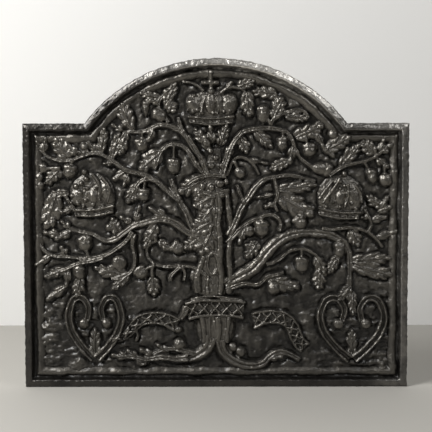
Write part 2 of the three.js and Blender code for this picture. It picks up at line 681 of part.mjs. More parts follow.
// The largest body of a solid: trimming can leave crumbs beyond the piece that trimmed it.
function mainBody(solid) {
  const bodies = solid.decompose();
  return bodies.reduce((best, body) => (body.volume() > best.volume() ? body : best));
}

function touches(a, b) {
  const boxA = a.boundingBox();
  const boxB = b.boundingBox();
  return [0, 1].every((k) => boxA.min[k] <= boxB.max[k] && boxB.min[k] <= boxA.max[k]);
}

const fireback = new THREE.Group();
fireback.name = "fireback";
fireback.add(meshOf("back_plate", plateSolid(), IRON));

// What stands on the plate so far, each a little oversize, so that later pieces are cut clear of it.
const cutters = [];

for (const [name, line] of Object.entries(mouldingLines())) {
  fireback.add(meshOf(`rim_${name}`, moulding(line, rimProfile(0)), RUBBED_IRON));
  fireback.add(meshOf(`bead_${name}`, moulding(line, beadProfile(0)), IRON));
  cutters.push(moulding(line, rimProfile(CLEARANCE)), moulding(line, beadProfile(CLEARANCE)));
}

for (const [name, makers] of Object.entries({ ...ORNAMENTS, ...TREE })) {
  let solid = joined(makers, 0);
  for (const cutter of cutters) {
    if (touches(solid, cutter)) solid = solid.subtract(cutter);
  }
  fireback.add(meshOf(name, mainBody(solid), IRON));
  cutters.push(joined(makers, CLEARANCE));
}

export default fireback;
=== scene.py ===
# %% [markdown]
# # A cast-iron fireback
#
# The part is one casting: an arched plate with a moulded rim, and on its face an oak tree with acorns, three
# crowns, ribbons and two scrolls. The founder's pattern is a board with carved pieces planted on it, and this
# lesson works the same way. Each carved piece is put together from simple shapes, melted into one skin as the
# sand would soften it, and stood on the plate that the CAD part fixes.

# %% Load the frame
import math
import random

import bpy
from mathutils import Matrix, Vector, kdtree


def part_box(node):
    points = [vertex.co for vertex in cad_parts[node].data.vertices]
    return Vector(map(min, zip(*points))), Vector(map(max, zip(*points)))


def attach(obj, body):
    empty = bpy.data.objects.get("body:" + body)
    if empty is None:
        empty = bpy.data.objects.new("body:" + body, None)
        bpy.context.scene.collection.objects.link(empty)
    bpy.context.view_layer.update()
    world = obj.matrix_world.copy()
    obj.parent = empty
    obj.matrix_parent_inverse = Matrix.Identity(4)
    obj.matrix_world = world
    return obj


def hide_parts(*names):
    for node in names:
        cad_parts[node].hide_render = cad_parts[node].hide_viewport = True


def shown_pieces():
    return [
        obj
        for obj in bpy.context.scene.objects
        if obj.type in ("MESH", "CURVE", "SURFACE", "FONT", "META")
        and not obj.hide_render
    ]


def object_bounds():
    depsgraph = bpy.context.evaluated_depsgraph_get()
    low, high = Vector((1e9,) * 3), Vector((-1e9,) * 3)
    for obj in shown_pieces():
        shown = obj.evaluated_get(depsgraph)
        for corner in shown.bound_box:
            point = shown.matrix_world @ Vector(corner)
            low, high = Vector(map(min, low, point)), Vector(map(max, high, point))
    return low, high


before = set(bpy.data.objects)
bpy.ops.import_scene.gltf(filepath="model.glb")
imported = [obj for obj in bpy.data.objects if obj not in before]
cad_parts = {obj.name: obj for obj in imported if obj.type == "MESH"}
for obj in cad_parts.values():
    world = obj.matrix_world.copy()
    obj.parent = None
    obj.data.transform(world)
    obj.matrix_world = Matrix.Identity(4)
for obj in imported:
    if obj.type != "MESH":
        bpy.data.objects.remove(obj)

cad_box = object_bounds()
MM = 0.001
print("CAD box in mm:", [round(c / MM, 1) for corner in cad_box for c in corner])

# %% [markdown]
# The drawing lies flat on the XY plane while it is carved: x to the right, y up the plate, z out of the face.
# A finished piece is stood up once, at the end. The plate's own sizes are read from the frame, so the mouldings
# always have the CAD part's outline.

# %% The plate's sizes, in millimetres
HALF_WIDTH = cad_box[1].x / MM
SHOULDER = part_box("rim_left_shoulder")[1].z / MM
TOP = cad_box[1].z / MM
FACE_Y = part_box("trunk")[1].y
THICKNESS = (cad_box[1].y - FACE_Y) / MM
RIM_HEIGHT = (FACE_Y - cad_box[0].y) / MM
BEAD_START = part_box("bead_bottom")[0].z / MM
ARCH_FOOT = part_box("rim_arch_right")[1].x / MM
ARCH_RADIUS = (ARCH_FOOT**2 + (TOP - SHOULDER) ** 2) / (2 * (TOP - SHOULDER))
ARCH_CENTRE = TOP - ARCH_RADIUS
print(f"plate {2 * HALF_WIDTH:.0f} x {TOP:.0f} mm, {THICKNESS:.0f} thick, rim {RIM_HEIGHT:.0f} high")

# %% [markdown]
# Every operator acts on what is selected, in one mode or the other, so short helpers set both.

# %% Modes and picking
def edit(action="SELECT"):
    """Go into the mesh, with all of it selected or, with DESELECT, none."""
    bpy.ops.object.mode_set(mode="EDIT")
    bpy.ops.mesh.select_all(action=action)


def leave():
    bpy.ops.object.mode_set(mode="OBJECT")


def placed(name, data):
    """A new object with this data, put into the scene."""
    made = bpy.data.objects.new(name, data)
    bpy.context.collection.objects.link(made)
    return made


def only(*objects):
    if bpy.context.mode != "OBJECT":
        leave()
    bpy.ops.object.select_all(action="DESELECT")
    for piece in objects:
        piece.select_set(True)
    bpy.context.view_layer.objects.active = objects[0]


def apply(piece, kind, **settings):
    """Add a modifier with these settings and make it part of the mesh."""
    only(piece)
    modifier = piece.modifiers.new(kind.title(), kind)
    for name, value in settings.items():
        setattr(modifier, name, value)
    bpy.ops.object.modifier_apply(modifier=modifier.name)


# %% [markdown]
# ## The iron
#
# The real surface is grey iron cast in sand, blackened with graphite and waxed. Graphite over iron is a dark,
# slightly warm metal, smooth and greyer where hands and brushes reach. So the colour and roughness follow the
# height above the plate's face, read from Object coordinates: the heights are rubbed greyer, and the hollows are
# painted dark and dull as shade, most of all round the foot of each carving. The colour is also darker towards the
# plate's foot. The wax is a thin clear coat, which gives the small white glints on every edge. A photographed
# texture would be quicker, but it would not follow the carving. The rim is the same iron worn harder in patches,
# painted darker as shade, and painted lighter along the arch, both as the sheen of a light and as iron worn bare.

# %% Colours and a node helper
def linear(hex_colour):
    """An sRGB hex colour as linear red, green, blue and alpha."""
    channels = [int(hex_colour[i : i + 2], 16) / 255 for i in (1, 3, 5)]
    return [c / 12.92 if c <= 0.04045 else ((c + 0.055) / 1.055) ** 2.4 for c in channels] + [1]


def new_material(name):
    """A material with its node tree and its shader."""
    material = bpy.data.materials.new(name)
    material.use_nodes = True
    return material, material.node_tree, material.node_tree.nodes["Principled BSDF"]


def node(tree, kind, settings=(), **inputs):
    """Add a node, set its settings, and give each input a value or a link."""
    made = tree.nodes.new(kind)
    for name, value in dict(settings).items():
        setattr(made, name, value)
    for name, value in inputs.items():
        socket = made.inputs[int(name[1:]) if name[0] == "_" else name.replace("_", " ")]
        if isinstance(value, bpy.types.NodeSocket):
            tree.links.new(value, socket)
        else:
            socket.default_value = value
    return made


# %% The material
METALLIC = 0.9
WAX, WAX_ROUGHNESS = 0.6, 0.27
WEAR_PATCH = 40  # mm, so that no two leaves are rubbed alike
GRAIN, DENTS = 2.5, 7  # mm across: sand grain is 0.5 mm in truth, and drawn coarser so that it shows
GRAIN_DEPTH, DENT_DEPTH = 0.5, 2.2  # mm
CREASE_SHADE_SHARE = 0.7  # the share of the lighter look that the painted shade round each carving's foot takes away
DARKEST_BELOW, DARKENING_FROM, FOOT_DARKENING_SHARE = 50, 320, 0.28  # mm up the plate between which the colour darkens downwards, and the share darker at its foot


def blackened_iron(name, hollow, high, low_mm, high_mm, dull, polished, wear, sheen_and_bare_iron=None):
    """Sand-cast iron, graphited and waxed: dark and dull in the hollows as painted shade, greyer and smoother on the
    rubbed heights.
    """
    material, tree, shader = new_material(name)
    shader.inputs["Metallic"].default_value = METALLIC
    shader.inputs["Coat Weight"].default_value = WAX
    shader.inputs["Coat Roughness"].default_value = WAX_ROUGHNESS
    place = node(tree, "ShaderNodeTexCoord").outputs["Object"]
    across, depth, up = node(tree, "ShaderNodeSeparateXYZ", Vector=place).outputs
    multiply_add, add = {"operation": "MULTIPLY_ADD"}, {"operation": "ADD"}
    # Lighter with height: the heights are rubbed greyer, and the hollows are painted dark as shade.
    height = node(
        tree, "ShaderNodeMapRange", Value=depth,
        From_Min=FACE_Y - low_mm * MM, From_Max=FACE_Y - high_mm * MM, To_Min=0, To_Max=1,
    ).outputs["Result"]
    patches = node(
        tree, "ShaderNodeTexNoise", Vector=place, Scale=1 / (WEAR_PATCH * MM), Detail=5, Roughness=0.65,
    ).outputs["Fac"]
    worn = node(tree, "ShaderNodeMath", multiply_add, _0=patches, _1=wear, _2=-wear / 2).outputs[0]
    # Painted shade: the ground is painted darker round the foot of each carving, by a share stored on its points.
    crease_shade = node(tree, "ShaderNodeAttribute", {"attribute_name": "crease_shade"}).outputs["Fac"]
    after_crease_shade = node(tree, "ShaderNodeMath", multiply_add, _0=crease_shade, _1=-CREASE_SHADE_SHARE, _2=worn).outputs[0]
    # The colour is darker towards the foot of the plate.
    foot_darkening = node(
        tree, "ShaderNodeMapRange", Value=up,
        From_Min=DARKEST_BELOW * MM, From_Max=DARKENING_FROM * MM, To_Min=-FOOT_DARKENING_SHARE, To_Max=0,
    ).outputs["Result"]
    after_foot_darkening = node(tree, "ShaderNodeMath", add, _0=after_crease_shade, _1=foot_darkening).outputs[0]
    rubbed = node(tree, "ShaderNodeMath", {**add, "use_clamp": True}, _0=height, _1=after_foot_darkening).outputs[0]
    dark, grey = linear(hollow), linear(high)
    colour = node(tree, "ShaderNodeMix", {"data_type": "RGBA"}, _0=rubbed, _6=dark, _7=grey).outputs[2]
    if sheen_and_bare_iron:
        # Painted highlight and bare iron: the top of the arch, most to the right, and the right rim are painted
        # lighter, both as the sheen of a light from the right and as iron worn bare where the plate is gripped.
        rise = node(
            tree, "ShaderNodeMapRange", Value=up, From_Min=SHOULDER * MM - 0.03, From_Max=TOP * MM - 0.01,
        ).outputs["Result"]
        run = node(tree, "ShaderNodeMapRange", Value=across, From_Min=-0.2, From_Max=0.14).outputs["Result"]
        right_rim_sheen = node(
            tree, "ShaderNodeMapRange", Value=across, From_Min=0.3, From_Max=0.38, To_Max=0.2,
        ).outputs["Result"]
        share = node(tree, "ShaderNodeMath", multiply_add, _0=rise, _1=run, _2=right_rim_sheen).outputs[0]
        sheen_and_bare_share = node(
            tree, "ShaderNodeMath", {"operation": "MULTIPLY", "use_clamp": True}, _0=share, _1=rubbed,
        ).outputs[0]
        sheen_and_bare_colour = linear(sheen_and_bare_iron)
        colour = node(tree, "ShaderNodeMix", {"data_type": "RGBA"}, _0=sheen_and_bare_share, _6=colour, _7=sheen_and_bare_colour).outputs[2]
    tree.links.new(colour, shader.inputs["Base Color"])
    gloss = node(tree, "ShaderNodeMapRange", Value=rubbed, To_Min=dull, To_Max=polished).outputs["Result"]
    tree.links.new(gloss, shader.inputs["Roughness"])
    grain = node(
        tree, "ShaderNodeTexNoise", Vector=place, Scale=1 / (GRAIN * MM), Detail=3, Roughness=0.6,
    ).outputs["Fac"]
    dents = node(tree, "ShaderNodeTexNoise", Vector=place, Scale=1 / (DENTS * MM), Detail=2).outputs["Fac"]
    dented = node(tree, "ShaderNodeBump", Strength=0.8, Distance=DENT_DEPTH * MM, Height=dents).outputs["Normal"]
    bump = node(
        tree, "ShaderNodeBump", Strength=0.5, Distance=GRAIN_DEPTH * MM, Height=grain, Normal=dented,
    ).outputs["Normal"]
    tree.links.new(bump, shader.inputs["Normal"])
    return material


# Brushed with graphite: painted dark as shade in the hollows, a warm rubbed grey on the carving's heights.
relief_iron = blackened_iron("graphited_sand_cast_iron", "#2a2825", "#6a665f", -6, 10, 0.6, 0.33, 1.1)
# The same on the rim, worn harder in patches, in darker colours as painted shade, and painted lighter along the arch as
# a highlight on bare iron.
rim_iron = blackened_iron("rubbed_sand_cast_iron", "#181614", "#3d3a36", 0, 14, 0.55, 0.33, 2.4, "#f0ece4")
print("materials:", [m.name for m in bpy.data.materials])

# %% [markdown]
# ## From carving to casting
#
# A cast surface is never crisp or flat: the sand rounds each edge and leaves a slow waviness. A voxel remesh welds
# overlapping shapes into one skin, a smooth modifier rounds it, and two displace modifiers with a cloud texture
# add the waves. This is done to each piece alike.

# %% Melting and standing up
def clouds(name, size_mm):
    texture = bpy.data.textures.new(name, "CLOUDS")
    texture.noise_scale = size_mm * MM
    texture.noise_depth = 2
    return texture


broad_waves, small_waves = clouds("broad_waves", 14), clouds("small_waves", 4)
SKIN = 1.0  # voxel size in mm
FOOT = -3.5  # the carving's foot sits this far under the face, in mm
DEEPEST = FOOT - 1  # nothing under it is kept, in mm
SOFT_LIMIT, HARD_LIMIT = 13, RIM_HEIGHT + 0.3  # carving past the first is eased down to stay under the second, in mm


def displace(piece, texture, depth, coords="LOCAL", **settings):
    """Push a surface in and out by a texture, depth mm in all."""
    apply(piece, "DISPLACE", texture=texture, texture_coords=coords, strength=depth * MM, mid_level=0.5, **settings)


def uneven(piece, broad, small):
    """Give a surface the slow waves and small dents of sand-cast iron."""
    displace(piece, broad_waves, broad)
    displace(piece, small_waves, small)


def stand_up(piece, nodes, material):
    """Stand a flat carving on the plate's face and let it take the place of CAD nodes."""
    only(piece)
    piece.rotation_euler = (math.radians(90), 0, 0)
    piece.location = (0, FACE_Y, 0)
    bpy.ops.object.transform_apply(location=True, rotation=True, scale=True)
    bpy.ops.object.shade_smooth()
    piece.data.materials.clear()
    piece.data.materials.append(material)
    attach(piece, "root")
    if nodes:
        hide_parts(*nodes)
    print(f"{piece.name}: {len(piece.data.polygons)} faces")
    return piece


def flat_list(shapes):
    """Shapes may come as single objects or in nested lists."""
    found = []
    for shape in shapes:
        found += flat_list(shape) if isinstance(shape, list) else [shape]
    return found


def eased(height):
    """A height in mm, kept between the two limits."""
    over = height - SOFT_LIMIT
    if over > 0:
        height = SOFT_LIMIT + over * (HARD_LIMIT - SOFT_LIMIT) / (over + HARD_LIMIT - SOFT_LIMIT)
    return max(height, DEEPEST)


def carve(name, *shapes, skin=SKIN, rounding=5, broad=4.0, small=0.8):
    """Melt shapes into one piece, named for the CAD node whose place it takes."""
    shapes = flat_list(shapes)
    only(*shapes)
    bpy.ops.object.convert(target="MESH")
    bpy.ops.object.join()
    piece = bpy.context.object
    bpy.ops.object.transform_apply(location=True, rotation=True, scale=True)
    for corner in piece.data.vertices:
        corner.co.z = eased((corner.co / MM).z) * MM
    apply(piece, "REMESH", mode="VOXEL", voxel_size=skin * MM)
    apply(piece, "SMOOTH", factor=0.5, iterations=rounding)
    uneven(piece, broad, small)
    edit()
    bpy.ops.mesh.bisect(plane_co=(0, 0, FOOT * MM), plane_no=(0, 0, -1), clear_outer=True, use_fill=True)
    leave()
    piece.name = "cast_" + name
    piece.data.name = piece.name
    return stand_up(piece, [name], relief_iron)


# %% [markdown]
# ## The mouldings
#
# Rim, hollow and bead run round the whole plate. They are drawn as a joiner's moulding: a few pairs of distance
# from the edge and height. The outline starts as one flat face, which is extruded ring after ring, and each new
# ring moves onto the outline at its own distance. The inset operator could do it too, but it keeps points where
# they are along a side, so fine steps would cross each other in the corners.

# %% The outline
OUTLINE_STEP = 4.5  # distance between the outline's points, in mm
ARCH_HALF_ANGLE = math.asin(ARCH_FOOT / ARCH_RADIUS)
SIDES = {
    "bottom": 2 * HALF_WIDTH, "side": SHOULDER, "shoulder": HALF_WIDTH - ARCH_FOOT,
    "arch": 2 * ARCH_HALF_ANGLE * ARCH_RADIUS,
}
STEPS = {name: round(length / OUTLINE_STEP) for name, length in SIDES.items()}


def even_points(start, end, steps):
    """Points from start up to, but without, the end."""
    return [tuple(a + (b - a) * i / steps for a, b in zip(start, end)) for i in range(steps)]


def outline(inset):
    """The plate's outline in mm, moved inwards by inset, always with the same number of points."""
    half, shoulder, radius = HALF_WIDTH - inset, SHOULDER - inset, ARCH_RADIUS - inset
    half_angle = math.acos((shoulder - ARCH_CENTRE) / radius)
    foot = radius * math.sin(half_angle)
    arch = [half_angle * (1 - 2 * i / STEPS["arch"]) for i in range(STEPS["arch"])]
    return [
        *even_points((-half, inset), (half, inset), STEPS["bottom"]),
        *even_points((half, inset), (half, shoulder), STEPS["side"]),
        *even_points((half, shoulder), (foot, shoulder), STEPS["shoulder"]),
        *[(radius * math.sin(a), ARCH_CENTRE + radius * math.cos(a)) for a in arch],
        *even_points((-foot, shoulder), (-half, shoulder), STEPS["shoulder"]),
        *even_points((-half, shoulder), (-half, inset), STEPS["side"]),
    ]


def moulding(name, rings, is_frame=False):
    """A closed body through rings of (distance from the edge, height above the face), in mm.

    The first and last ring close it as flat faces. A frame has an open middle, so there they are joined instead.
    """
    points = outline(rings[0][0])
    bpy.ops.mesh.primitive_circle_add(vertices=len(points), radius=1, fill_type="NGON")
    body = bpy.context.object
    body.name = name
    order = {}
    for i, (corner, (x, y)) in enumerate(zip(body.data.vertices, points)):
        corner.co = (x * MM, y * MM, rings[0][1] * MM)
        order[tuple(corner.co)] = i
    only(body)
    for inset, height in rings[1:]:
        points = outline(inset)
        bpy.ops.object.mode_set(mode="EDIT")
        bpy.ops.mesh.extrude_region_move()
        leave()
        moved = {}
        for corner in body.data.vertices:
            if corner.select:
                i = order[tuple(corner.co)]
                corner.co = (points[i][0] * MM, points[i][1] * MM, height * MM)
                moved[tuple(corner.co)] = i
        order = moved
    if is_frame:
        bpy.context.tool_settings.mesh_select_mode = (False, False, True)
        edit("DESELECT")
        bpy.ops.mesh.select_face_by_sides(number=4, type="GREATER")
        bpy.ops.mesh.delete(type="ONLY_FACE")
        bpy.context.tool_settings.mesh_select_mode = (False, True, False)
        bpy.ops.mesh.select_non_manifold()
        bpy.ops.mesh.bridge_edge_loops()
        leave()
    edit()
    bpy.ops.mesh.normals_make_consistent(inside=False)
    leave()
    return body


# %% The tray: back, sides and rim
BACK_STEP = 12  # mm between the cuts across the back
side = [(1, -THICKNESS + 2), (0.8, -6), (0.8, 0), (0.8, 5), (0.8, RIM_HEIGHT - 6)]
rim_top = [(1.8, 11.6), (3.2, 12.6), (5.5, 13.4), (8, 14.1), (10.5, 14.7), (12.4, 15.1), (14, 14.9), (15.2, 13.8)]
rim_inside = [(16.2, 11), (17.4, 7.5), (19, 4.5), (21, 2.6), (23.5, 1.6), (26, 0.8), (28, -8)]
tray = moulding("cast_plate_and_rim", [(2, -THICKNESS + 1.2), *side, *rim_top, *rim_inside])
# The back is one wide face, so it is cut into a lattice that the waves can bend.
bpy.ops.object.mode_set(mode="EDIT")
for reach, direction in ((HALF_WIDTH, (1, 0, 0)), (TOP, (0, 1, 0))):
    for i in range(-int(reach / BACK_STEP), int(reach / BACK_STEP) + 1):
        bpy.ops.mesh.select_all(action="SELECT")
        bpy.ops.mesh.bisect(plane_co=[i * BACK_STEP * MM * share for share in direction], plane_no=direction)
leave()
uneven(tray, 2.6, 2.6)
rim_nodes = [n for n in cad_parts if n.startswith("rim_")]
stand_up(tray, ["back_plate", *rim_nodes], rim_iron)

# %% The bead
LONG_WAVES, LONG_WAVE_DEPTH = 45, 9  # mm
bead_section = [
    (-3.6, -4), (-2.8, 0.8), (-1, 3.4), (1.4, 5.6), (4, 6.6), (6.8, 6.3), (9.4, 4.9), (12, 3), (15, 1), (17, -4),
]
bead = moulding("cast_bead", [(BEAD_START + inset, height) for inset, height in bead_section], is_frame=True)
displace(bead, clouds("long_waves", LONG_WAVES), LONG_WAVE_DEPTH)
uneven(bead, 3.5, 1.6)
stand_up(bead, [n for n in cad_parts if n.startswith("bead_")], relief_iron)

# %% [markdown]
# ## Boughs
#
# A bough is a path with a width at each point, so it is drawn as a curve. A small closed profile is carried along
# it, and the curve's radius widens or thins it, with a little chance at each point. Most boughs are steep-sided with
# a groove along the top, like the twisted strands of bark on the real carving. A plain bevel depth would be shorter
# to write, but it only gives a round pipe.

# %% The profiles and the bough
def profile(name, points):
    """A closed section: across from about -1 to 1, up from 0 to 1, with a flared foot under the face."""
    curve = bpy.data.curves.new(name, "CURVE")
    curve.dimensions = "2D"
    line = curve.splines.new("POLY")
    flare, sunk = 1.12, -0.4
    closed = [(points[0][0] * flare, sunk), *points, (points[-1][0] * flare, sunk)]
    line.points.add(len(closed) - 1)
    for point, (across, up) in zip(line.points, closed):
        point.co = (across, up, 0, 1)
    line.use_cyclic_u = True
    return placed(name, curve)


def mirrored(left, *middle):
    """Both halves of a section that is the same on each side."""
    return [*left, *middle, *[(-across, up) for across, up in reversed(left)]]


STRANDS = profile("strands", [
    (-1.2, 0), (-0.98, 0.5), (-0.7, 0.9), (-0.35, 1), (-0.02, 0.6), (0.3, 0.86), (0.6, 0.84), (0.95, 0.45), (1.2, 0),
])
ROUND = profile("round", mirrored([(-1, 0), (-0.9, 0.55), (-0.5, 0.92)], (0, 1)))
BAND = profile("band", mirrored([(-1.05, 0), (-1, 0.75), (-0.88, 1), (-0.72, 0.92), (-0.54, 0.4), (-0.3, 0.3)]))
TWO_RIDGES = profile("two_ridges", mirrored([(-1.05, 0), (-0.9, 0.75), (-0.66, 1), (-0.42, 0.85), (-0.12, 0.3)]))

BOUGH, TWIG, ROOT = 10.5, 8, 12.5  # greatest heights in mm
STOUT = 1.12  # the carved stem swells a little past its drawn width
UNEVEN = 0.9, 1.12  # and varies by this much
random.seed(12)


def bough(points, root, tip, height=BOUGH, section=STRANDS):
    """A stem through points in mm, root and tip wide, with its greatest height at the root."""
    curve = bpy.data.curves.new("bough", "CURVE")
    curve.dimensions = "2D"
    curve.resolution_u = 6
    curve.bevel_mode = "OBJECT"
    curve.bevel_object = section
    curve.use_fill_caps = True
    line = curve.splines.new("BEZIER")
    line.bezier_points.add(len(points) - 1)
    run = [0]
    for a, b in zip(points, points[1:]):
        run.append(run[-1] + math.dist(a, b))
    for point, (x, y), along in zip(line.bezier_points, points, run):
        point.co = (x * MM, y * MM, 0)
        point.handle_left_type = point.handle_right_type = "AUTO"
        point.radius = (root + (tip - root) * along / run[-1]) / 2 * MM * STOUT * random.uniform(*UNEVEN)
    stem = placed("bough", curve)
    stem.scale.z = height / (root / 2)
    return stem


def twig(points, root=7, tip=5):
    return bough(points, root, tip, TWIG, ROUND)


# %% [markdown]
# ## Leaves, acorns and balls
#
# An oak leaf on this casting is a midrib with puffed lobes. It is carved once from flattened spheres, one a lobe,
# and stamped again and again. Overlapping lumps suit the melting step: it turns them into soft lobes with creases
# between, which a cut-out outline would not give.

# %% The masters
def lump(x, y, half_width, half_length, height, turn=0, segments=12, rings=8):
    """A flattened sphere."""
    bpy.ops.mesh.primitive_uv_sphere_add(
        segments=segments, ring_count=rings, radius=1, location=(x, y, 0),
        rotation=(0, 0, math.radians(turn)), scale=(half_width, half_length, height),
    )
    return bpy.context.object


def master(name, shapes):
    """Join shapes into one object to stamp copies from."""
    only(*shapes)
    bpy.ops.object.join()
    made = bpy.context.object
    bpy.ops.object.transform_apply(location=True, rotation=True, scale=True)
    made.name = name
    return made


def pairs_of_lobes(rows):
    """Pairs of lobes along a midrib: share along, reach, half-width, half-length, height, turn. No two are alike."""
    shapes = []
    for along, reach, half_width, half_length, height, turn in rows:
        for side in (-1, 1):
            vary = [random.uniform(0.84, 1.16) for _ in range(4)]
            shapes.append(lump(
                side * reach * vary[0], along + random.uniform(-0.04, 0.04), half_width * vary[1],
                half_length * vary[2], height * vary[3], side * (turn + random.uniform(-12, 12)),
            ))
    return shapes


broad_leaves = [
    master("broad_leaf", [
        *pairs_of_lobes([
            (0.2, 0.24, 0.25, 0.14, 0.82, 38), (0.48, 0.28, 0.27, 0.155, 0.92, 34), (0.73, 0.2, 0.21, 0.125, 0.92, 40),
        ]),
        lump(0, 0.9, 0.2, 0.15, 0.95), lump(0, 0.48, 0.35, 0.48, 0.78), lump(0, 0.46, 0.06, 0.5, 1.12),
    ]) for _ in range(4)
]
narrow_leaves = [
    master("narrow_leaf", [
        *pairs_of_lobes([(0.34, 0.2, 0.3, 0.2, 0.85, 40)]),
        lump(0.02, 0.78, 0.3, 0.23, 0.95), lump(0, 0.46, 0.32, 0.48, 0.8), lump(0, 0.42, 0.08, 0.48, 1.1),
    ]) for _ in range(3)
]
acorn_master = master("acorn", [
    lump(0, 0.05, 0.44, 0.43, 1.0, segments=16, rings=12), lump(0, -0.22, 0.49, 0.27, 0.94, segments=16, rings=12),
    lump(0, 0.47, 0.09, 0.1, 0.4),
])
ball_master = master("ball", [lump(0, 0, 0.5, 0.5, 1, segments=16, rings=12)])


def stamp(pattern, x, y, width, length, height, turn):
    """A copy of a master with its own mesh, set down in mm and degrees."""
    copy = pattern.copy()
    copy.data = pattern.data.copy()
    bpy.context.collection.objects.link(copy)
    copy.location = (x * MM, y * MM, 0)
    copy.scale = (width * MM, length * MM, height * MM)
    copy.rotation_euler = (0, 0, math.radians(turn))
    return copy


LEAF, ACORN, BALL = 10, 13, 13.5  # greatest heights in mm
BROAD_FROM = 17  # mm; narrower leaves have fewer lobes
# The casting's soft edges swell past the drawn widths and lengths.
LEAF_SPREAD, LEAF_STRETCH = 1.4, 1.1
ACORN_SPREAD, ACORN_STRETCH = 1.32, 1.22
BALL_SPREAD, BALL_RISE = 1.28, 0.66


def leaf(stalk, tip, width, height=LEAF):
    pattern = random.choice(broad_leaves if width >= BROAD_FROM else narrow_leaves)
    turn = math.degrees(math.atan2(tip[1] - stalk[1], tip[0] - stalk[0])) - 90
    return stamp(pattern, *stalk, width * LEAF_SPREAD, math.dist(stalk, tip) * LEAF_STRETCH, height, turn)


def leaves(*rows):
    """Leaves given as stalk x and y, tip x and y, and width."""
    return [leaf((x, y), (tip_x, tip_y), width) for x, y, tip_x, tip_y, width in rows]


def acorn(centre, width, length, turn=0):
    """The cup is at the upper end when turn is 0."""
    return stamp(acorn_master, *centre, width * ACORN_SPREAD, length * ACORN_STRETCH, ACORN, turn + 180)


def boss(centre, width, length, turn=0, height=ACORN):
    """A smooth oval lump."""
    return stamp(ball_master, *centre, width, length, height, turn)


def ball(centre, width):
    return boss(centre, width * BALL_SPREAD, width * BALL_SPREAD, 0, min(width * BALL_RISE, BALL))


print(f"masters: {len(broad_leaves)} broad and {len(narrow_leaves)} narrow leaves, an acorn and a ball")


# %% [markdown]
# ## Crowns
#
# All three crowns have a puffed cap on a band of two ridges with jewels between, and an orb on top. The carver cut
# the lobes, ribs and pearls of each by eye, so those are given one by one, measured from the middle of the band.
# A finer skin keeps the pearls apart.

# %% The crowns
CROWN = 11.5  # mm


def turned(centre, tilt):
    """A function that turns a small drawing by tilt degrees and sets it down at a place."""
    cos, sin = math.cos(math.radians(tilt)), math.sin(math.radians(tilt))
    return lambda x, y: (centre[0] + x * cos - y * sin, centre[1] + x * sin + y * cos)


def crown(centre, width, rise, tilt, lobes, ribs, pearls):
    """Lobes are (x, y, width, length, turn, share of the height), ribs are paths, pearls are (x, y, size)."""
    at = turned(centre, tilt)
    half = width / 2
    shapes = [boss(at(0, rise * 0.44), width * 0.94, rise * 1.06, tilt, CROWN * 0.62)]
    for y, share, high in ((5, 0.84, 0.96), (-7, 0.78, 0.88)):
        ridge = [at(-half * share, y + 2), at(0, y - 2), at(half * share, y + 2)]
        shapes.append(bough(ridge, 6, 6, CROWN * high, ROUND))
    shapes.append(bough([at(-half * 0.8, 0), at(0, -4), at(half * 0.8, 0)], 12, 12, CROWN * 0.5, ROUND))
    shapes += [boss(at(k * half * 0.3, -3 + abs(k) * 0.8), 9, 5, tilt, CROWN * 0.8) for k in (-2, -1, 0, 1, 2)]
    shapes += [boss(at(x, y), wide, long, tilt + turn, CROWN * high) for x, y, wide, long, turn, high in lobes]
    shapes += [bough([at(*point) for point in rib], 7, 6, CROWN * 1.12, ROUND) for rib in ribs]
    shapes += [boss(at(x, y), size, size, 0, CROWN * 1.1 + size * 0.12) for x, y, size in pearls]
    return shapes


carve("top_crown",
    crown((-9, 550), 112, 62, 0,
        lobes=[
            (-36, 33, 34, 44, 18, 1.05), (36, 32, 36, 48, -8, 1.1), (17, 33, 20, 44, 10, 1.2), (-2, 34, 26, 50, 0, 1.3),
        ],
        ribs=[[(-20, 14), (-17, 34), (-9, 50)], [(12, 12), (15, 32), (9, 50)]],
        pearls=[
            (-1, 58, 17), (-5, 42, 10), (6, 38, 9), (-1, 27, 11), (-28, 20, 10), (-38, 16, 10), (-48, 20, 9),
            (-18, 14, 10), (4, 14, 10), (26, 17, 10), (38, 18, 9), (-44, 42, 10), (-34, 50, 9),
        ]),
    bough([(-10, 612), (-10, 630), (-10, 650)], 9, 11, CROWN * 0.8, ROUND),
    bough([(-30, 626), (-10, 625), (6, 626)], 9, 9, CROWN * 0.8, ROUND),
    skin=0.8,
)
carve("left_crown",
    crown((-250, 364), 100, 82, 6,
        lobes=[(-30, 34, 34, 44, -24, 0.95), (30, 36, 28, 62, 16, 1.0), (2, 32, 28, 36, 0, 1.15)],
        ribs=[[(6, 76), (18, 52), (14, 20)], [(24, 68), (37, 44), (30, 16)]],
        pearls=[
            (-10, 82, 14), (-8, 67, 13), (-19, 60, 13), (-31, 54, 14), (-14, 25, 14), (-30, 20, 13), (4, 32, 11),
            (8, 46, 10), (20, 8, 10), (-40, 36, 14), (0, 14, 11), (-24, 40, 15), (-8, 48, 13), (-6, 38, 10),
            (-44, 22, 10), (-20, 12, 10),
        ]),
    skin=0.8,
)
carve("right_crown",
    crown((252, 358), 104, 84, -6,
        lobes=[(-30, 34, 30, 54, -16, 0.95), (26, 38, 36, 66, 16, 1.05), (0, 34, 28, 40, 0, 1.15)],
        ribs=[
            [(-6, 72), (-20, 44), (-36, 18)], [(-20, 66), (-34, 44), (-44, 26)],
            [(28, 60), (40, 46), (44, 28)], [(12, 62), (15, 38), (10, 14)],
        ],
        pearls=[
            (2, 82, 14), (-4, 66, 12), (-3, 52, 10), (5, 58, 10), (-28, 12, 11), (-14, 22, 10), (24, 24, 12),
            (34, 14, 10), (2, 30, 9), (0, 14, 10),
        ]),
    skin=0.8,
)

# %% [markdown]
# ## Ribbons and scrolls
#
# A ribbon is a flat band with raised edges, carved in low relief: here a row of lozenges. The scrolls are heart-shaped
# pairs of curling bands with two ridges, each ending in a ball.

